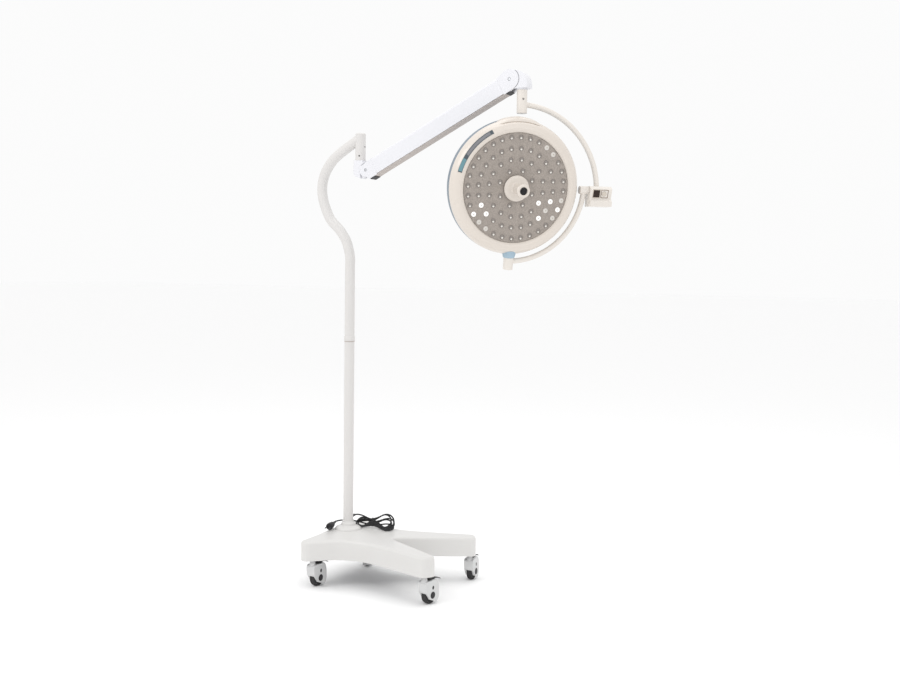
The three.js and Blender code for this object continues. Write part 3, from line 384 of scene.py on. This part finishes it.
def slab(outline, low, high, across):
    """A prism: the outline's two numbers are X and Z (across Y) or Y and Z (across X)."""
    order = {"Y": lambda a, b, c: (a, c, b), "X": lambda a, b, c: (c, a, b)}[across]
    count = len(outline)
    verts = [order(a, b, low) for a, b in outline] + [order(a, b, high) for a, b in outline]
    faces = [tuple(range(count))[::-1], tuple(range(count, 2 * count))]
    faces += [(i, (i + 1) % count, (i + 1) % count + count, i + count) for i in range(count)]
    area = sum(p[0] * q[1] - q[0] * p[1] for p, q in zip(outline, outline[1:] + outline[:1]))
    if (area < 0) != (across == "Y"):
        faces = [face[::-1] for face in faces]
    return verts, faces


def ring(outer, inner, low, high, across):
    """A prism with a hole: both outlines have as many points, and run the same way."""
    verts, faces = slab(outer, low, high, across)
    count = len(outer)
    hole_verts, hole_faces = slab(inner, low, high, across)
    turned_over = faces[0][0] > faces[0][1]
    faces = faces[2:] + [tuple(i + 2 * count for i in face[::-1]) for face in hole_faces[2:]]
    for i in range(count):
        j = (i + 1) % count
        bottom = (i, j, j + 2 * count, i + 2 * count)
        top = (i + count, j + count, j + 3 * count, i + 3 * count)
        faces += [bottom[::-1], top] if turned_over else [bottom, top[::-1]]
    return verts + hole_verts, faces


# ---------- the mains cord: gland, bundle on the hub, plug ----------
CORD_D = 0.006
NECK = Vector((67, 80, 0))  # where the bundle is tied
HANK_TURN = 20  # degrees from the base's long way
ALONG = Vector((math.cos(HANK_TURN * DEG), math.sin(HANK_TURN * DEG), 0))
ACROSS = Vector((-math.sin(HANK_TURN * DEG), math.cos(HANK_TURN * DEG), 0))
COVER_TOP, HUB_RISE, HUB_SPREAD = 184, 13, 110


def crown(x, y):
    """Height of the cover's top face."""
    return COVER_TOP + HUB_RISE * math.exp(-(x * x + y * y) / HUB_SPREAD ** 2)


def on_hank(along, across, height):
    place = NECK + ALONG * along + ACROSS * across
    return Vector((place.x, place.y, crown(place.x, place.y) + height))


NECK_HEIGHT = 24
NECK_SIDE = 3.2  # half the distance between the two columns of strands under the tie
ROW = 6.2  # from strand to strand under the tie
# each loop: its lean in degrees, its half width, how far out its cap is centred, and the degrees it
# is turned by
RIGHT_LOOPS = [(18, 26.5, 65, -11), (34, 26, 52, 9), (50, 26, 66, -2), (66, 28, 47, 14),
               (80, 30, 60, 0)]
LEFT_LOOPS = [(16, 26, 37, 7), (32, 26, 42, -7), (22, 26, 36, 1), (40, 26, 40, 9)]
FROM_GLAND = [(0, 42, 242), (0, 50.5, 242), (0.2, 60, 241.9), (4, 69, 240.8), (11.5, 75.5, 238.6),
              (22, 78.7, 235.4), (35, 79.5, 231), (48, 78.5, 226.5)]
PLUG_HEAD, PLUG_END = Vector((-52, -60, 207)), Vector((-64, 6, 215))
TO_PLUG = [(44, 72, 205), (24, 66, 210), (0, 63, 213), (-24, 59, 214.5), (-46, 50, 215),
           (-60, 35, 215), (-65.5, 19, 215), PLUG_END, (-61, -10, 213)]


def lobe(way, loop, lift, first, last):
    """Half a turn of the bundle, as points out along its lower side and back along its upper side,
    between its heights under the tie, first and last."""
    lean, half, cap, yaw = loop
    tilt = lean * DEG
    middle = 3.6 + lift + half * math.sin(tilt)
    narrow = [(0.34, 0.28), (0.6, 0.62), (0.82, 0.92)]
    points = [(cap * part, -half * wide, part) for part, wide in narrow]
    for angle in (-90, -60, -30, 0, 30, 60, 90):
        points.append((cap + half * math.cos(angle * DEG), half * math.sin(angle * DEG), 1))
    points += [(cap * part, half * wide, part) for part, wide in reversed(narrow)]
    made = []
    for out, side, part in points:
        ease = part * part * (3 - 2 * part)
        start = first if side < 0 else last
        height = start + (middle - start) * ease + side * math.sin(tilt)
        across = side * math.cos(tilt) + math.copysign(NECK_SIDE * (1 - ease), side)
        across += out * math.tan(yaw * DEG) * ease
        made.append((way * out, across, height))
    return made


def cord_route():
    route = [Vector(point) for point in FROM_GLAND]
    turns = len(RIGHT_LOOPS)
    heights = [NECK_HEIGHT + ROW * ((turns - 1) / 2 - k) for k in range(turns)]
    for k, height in enumerate(heights):
        right = lobe(1, RIGHT_LOOPS[turns - 1 - k], 2 * (k % 2), height, height)
        route.append(on_hank(0, -NECK_SIDE, height))
        route += [on_hank(*point) for point in right]
        route.append(on_hank(0, NECK_SIDE, height))
        if k < turns - 1:
            left = lobe(-1, LEFT_LOOPS[k], 3 * ((k + 1) % 2), heights[k + 1], height)
            route += [on_hank(*point) for point in reversed(left)]
    route += [Vector(point) for point in TO_PLUG]
    return eased(catmull(route, 5), 4, 12)


def make_cord():
    route = cord_route()
    curve = bpy.data.curves.new("mains_cord", "CURVE")
    curve.dimensions = "3D"
    curve.bevel_depth = CORD_D / 2
    curve.bevel_resolution = 5
    curve.use_fill_caps = True
    spline = curve.splines.new("POLY")
    spline.points.add(len(route) - 1)
    for i, point in enumerate(route):
        spline.points[i].co = (*(BASE @ point), 1)
    spline.use_smooth = True
    curve.materials.append(CORD)
    cord = linked("mains_cord", curve)
    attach(cord, "base")
    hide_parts("mains_cord_column", "mains_cord_plug", "cord_hank")
    length = sum((b - a).length for a, b in zip(route, route[1:])) / 1000
    return cord, length


cord, cord_length = make_cord()

GLAND = BASE @ shifted(0, 0, 242)
gland = piece("cord_gland_relief", *lathe(rounded(
    [(0, 16.9), (8.5, 16.9), (9.4, 20.6), (9.4, 23.5), (7.2, 26.5), (6.4, 29), (6.4, 30.5),
     (5.7, 31), (5.7, 33), (6.0, 33.5), (6.0, 35), (5.3, 35.5), (5.3, 37.5), (5.5, 38), (5.5, 39.5),
     (4.8, 40), (4.8, 42), (5.0, 42.5), (5.0, 44), (4.3, 44.5), (4.1, 50), (0, 50)], 0.5, 2), 40, "Y"),
    GLAND, DARK, "base", "dark_plastic", ["cord_gland"])

PLUG = BASE @ Matrix.Translation(PLUG_HEAD) @ (PLUG_END - PLUG_HEAD).to_track_quat(
    "Z", "Y").to_matrix().to_4x4()
PLUG_LENGTH = (PLUG_END - PLUG_HEAD).length
plug_profile = rounded([(0, 0), (12.6, 0), (14, 1.5), (14, 15), (13.4, 16), (13.4, 18), (12.6, 22),
                        (10.6, 34), (7.2, 42), (5.6, 45), (5.6, 47), (4.9, 47.4), (4.9, 49.4),
                        (5.3, 49.8), (5.3, 51.6), (4.6, 52), (4.6, 54), (5.0, 54.4), (5.0, 56.2),
                        (4.3, 56.6), (4.1, PLUG_LENGTH), (0, PLUG_LENGTH)], 0.8, 3)
plug = piece("mains_plug_body", *lathe(plug_profile, 48), PLUG, DARK, "base", "cord_black",
             ["mains_plug"])
for side in (-9.5, 9.5):
    sleeve = lathe(rounded([(0, 1), (2.35, 1), (2.35, -10), (0, -10)], 0.3, 2), 20)
    tip = lathe(rounded([(0, -9.6), (2.4, -9.6), (2.4, -18), (1.4, -19), (0, -19)], 0.5, 2), 20)
    turn = PLUG @ shifted(side, 0, 0)
    piece(f"plug_pin_sleeve_{side > 0:d}", *sleeve, turn, DARK, "base", "cord_black")
    piece(f"plug_pin_{side > 0:d}", *tip, turn, IRON, "base", "steel")

TIE = BASE @ Matrix.Translation(on_hank(0, 0, NECK_HEIGHT)) @ turned(HANK_TURN, "Z")


def box_outline(half_x, half_y, radius):
    corners = [(-half_x, -half_y), (half_x, -half_y), (half_x, half_y), (-half_x, half_y)]
    return rounded(corners, radius, 4, closed=True)


tie = piece("cord_tie", *ring(box_outline(7.7, 17.2, 4), box_outline(6.4, 15.9, 3), -3, 3, "X"),
            TIE, CORD, "base", "cord_black")


# ---------- base cover ----------
OUTLINE = [
    (216, 0), (236, -24), (300, -58), (380, -101), (456, -144),
    (487, -163), (486, -186), (464, -212),
    (436, -210), (346, -181), (240, -152), (150, -137), (62, -157), (2, -203),
    (-38, -240), (-66, -232), (-76, -204),
    (-70, -100), (-67, 0),
]
RING = OUTLINE + [(x, -y) for x, y in OUTLINE[-2:0:-1]]
FRONT_END, REAR_END, LAST = 6, 15, 18  # the outline's points at the legs' ends and at the back
EDGE_ROUND = 11
OUTLINE_SHRINK = 0.15  # keeps the curve inside the box of the CAD cover
NOTCH, MIDDLE, REAR, OVER = 28, 24, 12, 12  # steps along each stretch of a half, and across it
EDGE_STEPS, WALL_STEPS = 6, 4
COVER_LOW = 108
COVER_WALL = 0.0035  # metres, as modifiers take


def outline_at(index, inset):
    inset += OUTLINE_SHRINK
    count = len(RING)
    index %= count
    i = int(index)
    t = index - i
    p0, p1, p2, p3 = [Vector(RING[(i + k) % count]) for k in (-1, 0, 1, 2)]
    bend = (2 * p0 - 5 * p1 + 4 * p2 - p3, p3 - p0 - 3 * p2 + 3 * p1)
    point = 0.5 * (2 * p1 + (p2 - p0) * t + bend[0] * t * t + bend[1] * t ** 3)
    way = (0.5 * ((p2 - p0) + 2 * bend[0] * t + 3 * bend[1] * t * t)).normalized()
    return Vector((point.x + way.y * inset, 0 if index in (0, LAST) else point.y - way.x * inset))


def cover_mesh():
    count = NOTCH + MIDDLE + REAR
    verts = []
    faces = []

    def corner(x, y, z):
        verts.append((x, y, z))
        return len(verts) - 1

    def side_index(i):
        return FRONT_END + (REAR_END - FRONT_END) * i / count

    def inner_index(i):
        if i <= NOTCH:
            return FRONT_END * (1 - i / NOTCH)
        return LAST - (LAST - REAR_END) * (i - NOTCH - MIDDLE) / REAR

    def skin(flip):
        def at(p):
            return corner(p.x, -p.y if flip else p.y, crown(p.x, p.y))
        grid = []
        for i in range(count + 1):
            a = outline_at(side_index(i), EDGE_ROUND)
            if NOTCH < i < NOTCH + MIDDLE:
                start, end = outline_at(0, EDGE_ROUND).x, outline_at(LAST, EDGE_ROUND).x
                b = Vector((start + (end - start) * (i - NOTCH) / MIDDLE, 0))
            else:
                b = outline_at(inner_index(i), EDGE_ROUND)
            grid.append([at(a.lerp(b, j / OVER)) for j in range(OVER + 1)])
        for i in range(count):
            for j in range(OVER):
                quad = (grid[i][j], grid[i][j + 1], grid[i + 1][j + 1], grid[i + 1][j])
                faces.append(quad[::-1] if flip else quad)

        def wall(indices, turned_over):
            rows = []
            for index in indices:
                top = outline_at(index, EDGE_ROUND)
                height = crown(top.x, top.y)
                row = []
                for step in range(EDGE_STEPS + 1):
                    angle = step / EDGE_STEPS * math.pi / 2
                    p = outline_at(index, EDGE_ROUND * (1 - math.sin(angle)))
                    row.append((p, height - EDGE_ROUND * (1 - math.cos(angle))))
                low = row[-1][1]
                row += [(row[-1][0], low + (COVER_LOW - low) * k / WALL_STEPS)
                        for k in range(1, WALL_STEPS + 1)]
                rows.append([corner(p.x, -p.y if flip else p.y, z) for p, z in row])
            for a, b in zip(rows, rows[1:]):
                for k in range(len(a) - 1):
                    quad = (a[k], b[k], b[k + 1], a[k + 1])
                    faces.append(quad if turned_over != flip else quad[::-1])

        wall([side_index(i) for i in range(count + 1)], True)
        wall([inner_index(i) for i in range(NOTCH + 1)], False)
        wall([inner_index(i) for i in range(NOTCH + MIDDLE, count + 1)], False)

    skin(False)
    skin(True)
    return verts, faces


def made_solid(thing):
    """The object's mesh with its modifiers applied."""
    graph = bpy.context.evaluated_depsgraph_get()
    whole = bpy.data.meshes.new_from_object(thing.evaluated_get(graph))
    thing.modifiers.clear()
    thing.data = whole


cover = piece("base_cover", *cover_mesh(), BASE, SHELL, "base", "shell_white", ["base_shell"], 180)
weld = cover.modifiers.new("weld", "WELD")
weld.merge_threshold = 0.0002
wall = cover.modifiers.new("wall", "SOLIDIFY")
wall.thickness = COVER_WALL
wall.offset = -1
made_solid(cover)
COLUMN_HOLE_R = 21
cutter = piece("cutter", *lathe([(0, 150), (COLUMN_HOLE_R, 150), (COLUMN_HOLE_R, 230), (0, 230)]),
               BASE, SHELL, "base", "shell_white")
hole = cover.modifiers.new("hole", "BOOLEAN")
hole.operation = "DIFFERENCE"
hole.object = cutter
hole.solver = "EXACT"
made_solid(cover)
bpy.data.objects.remove(cutter)
smooth(cover, 40)
dress("base_frame", IRON)


# ---------- column ----------
flange = [(20.4, 196), (52, 193.2), (53, 193.8), (52.4, 197.6), (49.5, 202.4), (44, 205.8),
          (37, 207.8), (29.5, 209.6), (28, 211.5), (27.5, 217), (26, 221.4), (23, 224),
          (22.6, 231.9), (20.4, 231.9)]
piece("flange", *lathe(rounded(flange, 1.6, 3, closed=True), 72), BASE, SHELL, "base", "post_white",
      ["column_flange"])
dress("column_lower", POST)
BEND = [(0, 976), (0, 1040), (0, 1120), (0, 1200), (0, 1256), (0, 1286), (-6, 1318), (-21, 1358),
        (-51, 1398), (-92, 1437), (-114, 1477), (-129, 1517), (-135, 1557), (-130, 1598),
        (-113, 1637), (-82, 1675), (-35, 1709), (23, 1743), (40, 1753)]
COLUMN_R = 20
bend_verts, bend_faces = sweep(catmull([(x, 0, z) for x, z in BEND], 8), COLUMN_R, 48)
joint_collar = rounded([(0, 956.3), (21.4, 956.3), (22, 957), (22, 973.5), (20, 977), (0, 977)],
                       0.8, 3)
collar_verts, collar_faces = lathe(joint_collar)
offset = len(bend_verts)
piece("column_bend", bend_verts + [Vector(v) for v in collar_verts],
      bend_faces + [tuple(i + offset for i in face) for face in collar_faces], BASE, POST, "base",
      "post_white", ["column_upper"])
# painted shadow: a thin grey ring round the tube under the collar stands in for the shadow line of the
# joint
painted_shadow_ring = rounded([(19.9, 952.4), (20.6, 952.4), (20.6, 956.1), (19.9, 956.1)], 0.2, 2, closed=True)
piece("joint_painted_shadow_ring", *lathe(painted_shadow_ring), BASE, STRIP_GREY, "base", "dark_plastic")
dress("socket_sleeve", POST, 0.8, 3)
for n in (1, 2):
    dress(f"socket_screw_{n}", DARK, 0.3)
dress("knuckle", ARM_PAINT, 1.2, 3)
dress("swivel_spindle", STEEL)


# ---------- spring arm and head ----------
dress("arm_beam", ARM_PAINT, 0.6)
dress("arm_under_cover", STRIP_GREY, 1.2)
dress("arm_lower_fork", ARM_PAINT, 1.2, 3)
dress("arm_upper_fork", ARM_PAINT, 1.6, 3)
dress("head_housing", ARM_PAINT, 1.6, 3)
for end in ("lower", "upper"):
    dress(f"arm_pivot_pin_{end}", STEEL, 0.4)
    dress(f"arm_cap_{end}", DARK, 1.4, 3)
for part in ("balance_spring", "parallel_link", "yoke_spindle"):
    dress(part, STEEL)


# ---------- yoke ----------
dress("yoke_sleeve", YOKE_PAINT, 0.6)
screw = lathe(rounded([(0, -0.4), (3.6, -0.4), (3.6, 1.6), (2.9, 2.2), (1.7, 2.2), (1.5, 1),
                       (0, 1)], 0.3, 2), 28)
SCREW = YOKE @ turned(-94, "Z") @ shifted(17.4, 0, 318) @ turned(90, "Y")
piece("yoke_sleeve_screw", *screw, SCREW, DARK, "yoke", "dark_plastic")
UPPER_ARC, LOWER_ARC, ARC_TUBE = 300, 272, 10
piece("upper_yoke_arc", *sweep(arc_points(UPPER_ARC, 2.4, 87.2), ARC_TUBE, 40), YOKE, YOKE_PAINT,
      "yoke", "yoke_cream", ["upper_arc"])
dress("control_box", YOKE_PAINT, 1.6, 3)
dress("display_window", DISPLAY, 0.5)
dress("panel_button", BUTTON, 0.6, 3)
dress("roll_shaft", YOKE_PAINT)
PANEL_TOP, PANEL_LOW = Vector((-28, 3)), Vector((-17, -30))
panel_middle = (PANEL_TOP + PANEL_LOW) / 2
panel_tilt = math.atan2(PANEL_LOW.x - PANEL_TOP.x, PANEL_TOP.y - PANEL_LOW.y) / DEG
FACE = YOKE @ shifted(0, panel_middle.x, panel_middle.y) @ turned(panel_tilt, "X")


def frame_on_panel(name, x0, x1, z0, z1, inner, high, material, slot):
    """A raised rim of width `inner` on the sloping panel, round a window."""
    outer = rounded([(x0, z0), (x1, z0), (x1, z1), (x0, z1)], 2.2, 4, closed=True)
    hole = rounded([(x0 + inner, z0 + inner), (x1 - inner, z0 + inner), (x1 - inner, z1 - inner),
                    (x0 + inner, z1 - inner)], 1.6, 4, closed=True)
    return piece(name, *ring(outer, hole, -high, 0.4, "Y"), FACE, material, "yoke", slot)


frame_on_panel("display_frame", 276.2, 306.8, -16.2, 16.2, 2.4, 0.7, PANEL, "box_cream")
frame_on_panel("button_frame", 309, 338, -15.4, 15.4, 2, 0.8, PANEL_EDGE, "box_cream")

# ---------- lower yoke ----------
dress("roll_hub", YOKE_PAINT, 0.8)
dress("bottom_sleeve", YOKE_PAINT, 0.8)
piece("lower_yoke_arc", *sweep(arc_points(LOWER_ARC, -1.6, -87.2), ARC_TUBE, 40), LOWER,
      YOKE_PAINT, "lower_yoke", "yoke_cream", ["lower_arc"])


# ---------- lamp ----------
RIM_R = 246
RIM_BACK = 6  # where the rim ends and the back cover's wall begins
BULGE_R, BULGE_Z = 170, 84  # the circle that the thicker stretch at the rim's top follows
LIP_R, LIP_Y = 215, -31  # the rim's foremost edge


def rim_chain(angle):
    """The rim's section at an angle round the lamp, with the thicker stretch at its top."""
    side = BULGE_R ** 2 - (BULGE_Z * math.cos(angle)) ** 2
    reach = BULGE_Z * math.sin(angle) + math.sqrt(max(0, side))
    more = max(0, reach - RIM_R)
    t = min(1, more / 3)
    far = RIM_R + more

    def mix(plain, thick):
        return (plain[0] + (thick[0] - plain[0]) * t, plain[1] + (thick[1] - plain[1]) * t)

    outer = [(199, -20), (200.4, -24), (203, -27), (208, -29.8), (LIP_R, LIP_Y), (224, -28.6),
             (231.5, -24.2), mix((235.4, -19.6), (234.4, -21)), mix((238, -16), (236.2, -13)),
             mix((240, -12.6), (238.6, -16.6)), mix((242, -9), (far - 6, -10.5)),
             mix((243.8, -5), (far - 2, -2)), mix((245, -1), (far, 6)), mix((245.6, 2), (far, 14)),
             mix((245.8, 4), (far, 22)), mix((RIM_R, 5), (far - 1, 27)),
             mix((RIM_R, RIM_BACK), (far - 2.4, 29.9)), mix((245.4, RIM_BACK), (246.4, 29.9))]
    inner = [mix((244, RIM_BACK), (246.4, 18)), mix((243.4, RIM_BACK), (246.4, RIM_BACK)),
             (243, RIM_BACK), (241, -1), (236, -8), (226, -19), (214, -25), (206, -21)]
    return rounded(outer + inner, 1.2, 2, closed=True)


def rim_mesh(segments=192):
    verts = []
    faces = []
    for s in range(segments):
        angle = 2 * math.pi * s / segments
        row = rim_chain(angle)
        verts += [(r * math.cos(angle), y, r * math.sin(angle)) for r, y in row]
    size = len(verts) // segments
    for s in range(segments):
        a, b = s * size, (s + 1) % segments * size
        for i in range(size):
            j = (i + 1) % size
            faces.append((a + i, a + j, b + j, b + i))
    return verts, faces


piece("front_rim", *rim_mesh(), LAMP, RIM, "lamp", "rim_cream", ["rim_ring"], 50)
back = rounded([(0, 84), (80, 83.2), (160, 80), (192, 75), (215, 68), (229, 60.5), (238, 52),
                (243.5, 42), (RIM_R, 30), (RIM_R, 6.3), (243, 6.3), (243, 29), (240, 41),
                (235.2, 50.5), (213, 65.2), (159, 77), (80, 80.2), (0, 81)], 5, 3)
piece("back_cover", *lathe(back, 144, "Y"), LAMP, BACK, "lamp", "back_blue_grey", ["back_shell"],
      50)
dress("lamp_coupling", PALE_BLUE, 0.6)
dress("led_board", BOARD)
dress("handle_socket", STEEL)

LED_RINGS = [(8, 66), (16, 104.5), (24, 143.5), (32, 183)]  # lenses and radius
PLATE_FRONT = -22
PAINTED_GLINT_DROP = 2.8  # painted glint: a pale disc set this far low in each plain lens stands in for the highlight on its lower part
LED_TURN = 4.5 * DEG
# the lenses that carry a painted reflection of the studio lights, full (first set) or half (second
# set): which ring, and which lens of it
PAINTED_REFLECTIONS = {(2, 14), (3, 13), (3, 14), (3, 20), (3, 22), (4, 18), (4, 29)}
HALF_PAINTED_REFLECTIONS = {(3, 21), (4, 3), (4, 4), (4, 19), (4, 20), (4, 30), (4, 28)}
plate = [(14, -19), (14, -21.6), (15, PLATE_FRONT), (197.6, PLATE_FRONT), (198.7, -21.2),
         (198.7, -19)]
piece("lens_carrier", *lathe(plate, 160, "Y"), LAMP, PLATE, "lamp", "lens_taupe", ["lens_plate"])


def many(name, shape, spots, material, slot, sharp=35):
    """Copies of one closed shape at spots on the lens plate, as a single piece."""
    shape_verts, shape_faces = shape
    verts = []
    faces = []
    for circle, i in spots:
        count, radius = LED_RINGS[circle - 1]
        angle = (i + 0.5) / count * 2 * math.pi + LED_TURN
        first = len(verts)
        verts += [(x + radius * math.cos(angle), y + PLATE_FRONT, z + radius * math.sin(angle))
                  for x, y, z in shape_verts]
        faces += [tuple(k + first for k in face) for face in shape_faces]
    return piece(name, verts, faces, LAMP, material, "lamp", slot, sharp=sharp)


spots = [(circle, i) for circle, (count, _) in enumerate(LED_RINGS, 1) for i in range(count)]
plain = [spot for spot in spots if spot not in PAINTED_REFLECTIONS and spot not in HALF_PAINTED_REFLECTIONS]
dome = lathe(rounded([(0, 0.4), (9.4, 0.4), (9.4, -0.6), (6.5, -2.2), (3, -2.9), (0, -3)], 1.5, 2),
             28, "Y")
lens_collar = lathe(rounded([(9.5, 0.4), (11.4, 0.4), (11.4, -0.3), (10.8, -0.9), (9.5, -0.9)],
                            0.3, 2, closed=True), 28, "Y")
painted_glint = lathe(rounded([(0, -1.4), (3.9, -1.4), (3.9, -2.5), (2.8, -3.2), (0, -3.3)], 0.4, 2),
             20, "Y")
painted_glint = ([(x, y, z - PAINTED_GLINT_DROP) for x, y, z in painted_glint[0]], painted_glint[1])
dot = lathe(rounded([(0, -2.4), (2.4, -2.4), (2.4, -3.1), (1.8, -3.2), (0, -3.2)], 0.2, 2), 16, "Y")
many("lens_collars", lens_collar, spots, PLATE, "lens_taupe")
many("lens_domes", dome, plain, LENS, "lens_taupe", 60)
# painted reflection: these lenses are coloured near white and glow faintly, in place of the reflected
# studio lights
many("lens_domes_painted_reflection", dome, sorted(PAINTED_REFLECTIONS), LENS_PAINTED_REFLECTION, "lens_taupe", 60)
# painted reflection: these lenses are coloured pale in place of a partial reflection of the studio
# lights
many("lens_domes_half_painted_reflection", dome, sorted(HALF_PAINTED_REFLECTIONS), LENS_HALF_PAINTED_REFLECTION, "lens_taupe", 60)
# painted glint: a pale disc low in every plain lens, in place of the highlight on its lower part
many("lens_painted_glints", painted_glint, plain, LENS_PAINTED_GLINT, "lens_taupe", 60)
many("led_chips", dot, sorted(PAINTED_REFLECTIONS | HALF_PAINTED_REFLECTIONS), CHIP, "lens_taupe")

grip = rounded([(0, -75), (13.3, -75), (13.3, -26), (46.6, -26), (47.5, -27), (47.5, -29),
                (44.4, -32.6), (36, -33.8), (22.5, -34.6), (18.6, -40), (17, -56), (17, -70),
                (19, -84), (23, -88), (25, -92), (25, -103.5), (21, -108), (15, -108),
                (14.4, -107), (14.4, -98), (0, -98)], 2.4, 4)
piece("sterile_handle", *lathe(grip, 96, "Y"), LAMP, RIM, "handle", "rim_cream", ["handle_grip"])
recess = rounded([(0, -97.4), (14.1, -97.4), (14.1, -101.8), (10.2, -101.8), (10.2, -99.5),
                  (0, -99.5)], 0.4, 2)
piece("handle_recess", *lathe(recess, axis="Y"), LAMP, DARK, "handle", "dark_plastic")
knob = rounded([(0, -99.2), (4.6, -99.2), (4.6, -102.6), (2.6, -103.2), (2.2, -101.6),
                (0, -101.6)], 0.4, 2)
piece("handle_catch", *lathe(knob, 32, "Y"), LAMP, DARK, "handle", "dark_plastic")


def band(name, r0, r1, start, end, lift, thick, material, slot):
    """A strip on the rim's sloping front, between two angles."""
    slope = Vector((17, 7)).normalized()  # outwards and back
    section = []
    for r, up in ((r0, lift), (r1, lift), (r1, lift + thick), (r0, lift + thick)):
        front = LIP_Y + (r - LIP_R) * slope.y / slope.x
        section.append((r + slope.y * up, front - slope.x * up))
    section = rounded(section, 0.35, 2, closed=True)
    steps = 48
    verts = []
    faces = []
    for s in range(steps + 1):
        angle = (start + (end - start) * s / steps) * DEG
        verts += [(r * math.cos(angle), y, r * math.sin(angle)) for r, y in section]
    size = len(section)
    for s in range(steps):
        for i in range(size):
            j = (i + 1) % size
            faces.append((s * size + i, s * size + j, (s + 1) * size + j, (s + 1) * size + i))
    faces.append(tuple(range(size))[::-1])
    faces.append(tuple(range(steps * size, (steps + 1) * size)))
    return piece(name, verts, faces, LAMP, material, "lamp", slot)


dress("trim_strip", LABEL_DARK, 0.3)
band("trim_strip_inlay", 219.4, 228.4, 121, 150, 1.3, 0.5, LABEL_GREY, "strip_teal")
band("trim_strip_end", 218, 230, 154, 166, 1.3, 0.5, LABEL_TEAL, "strip_teal")


# ---------- casters ----------
WHEEL_R = 34
TRAIL = 28  # from the swivel's axis to the axle
half_tread = [(4.3, -9), (9, -9), (10, -9.8), (22, -10.2), (25, -11), (30, -11), (32.6, -9.6),
              (33.7, -7), (WHEEL_R, -5.4), (WHEEL_R, -2), (33.2, -1.5), (33.2, 0)]
tread = rounded(half_tread + [(r, -y) for r, y in half_tread[-2::-1]], 0.6, 2, closed=True)
hood_hole = lathe(rounded([(0, 18.2), (5.4, 18.2), (5.4, 19.2), (4.6, 19.5), (0, 19.3)], 0.2, 2),
                  32, "Y")
oval = [(x, y, z * 1.35) for x, y, z in hood_hole[0]]
for n, place in enumerate(CASTER_FRAMES, 1):
    hub = place @ shifted(TRAIL, 0, WHEEL_R)
    dress(f"caster_{n}_fork", CASTER, 1.6, 3, 40)
    piece(f"caster_{n}_tyre", *lathe(tread, axis="Y"), hub, TYRE, f"caster_{n}_wheel", "tyre_dark",
          [f"caster_{n}_wheel"])
    dress(f"caster_{n}_axle", DARK, 0.3)
    dress(f"caster_{n}_pedal", DARK, 0.7)
    for side in (-1, 1):
        flip = turned(180, "Z") if side < 0 else Matrix()
        piece(f"caster_{n}_hole_{side > 0:d}", oval, hood_hole[1], hub @ shifted(2, 0, 28) @ flip,
              DARK, f"caster_{n}", "dark_plastic")


# ---------- floor, light ----------
def stage_floor():
    mesh = bpy.data.meshes.new("floor")
    half = 60
    mesh.from_pydata([(-half, -half, 0), (half, -half, 0), (half, half, 0), (-half, half, 0)], [],
                     [(0, 1, 2, 3)])
    mesh.materials.append(FLOOR)
    floor = linked("floor", mesh)


def area(name, place, target, size, power):
    data = bpy.data.lights.new(name, "AREA")
    data.size = size
    data.energy = power
    lamp = linked(name, data)
    lamp.location = place
    lamp.rotation_euler = (Vector(target) - Vector(place)).to_track_quat("-Z", "Y").to_euler()


stage_floor()
area("key", (-1.9, -3.0, 3.6), (0, 0, 1.0), 1.8, 36)
area("fill", (3.4, -2.2, 2.4), (0, 0, 1.1), 2.4, 14)
area("top", (0.2, 0.4, 4.2), (0, 0, 1.0), 2.4, 24)
world = bpy.data.worlds.new("studio")
world.use_nodes = True
world.node_tree.nodes["Background"].inputs["Color"].default_value = (1, 1, 1, 1)
world.node_tree.nodes["Background"].inputs["Strength"].default_value = 0.97
bpy.context.scene.world = world
bpy.context.scene.view_settings.view_transform = "Standard"
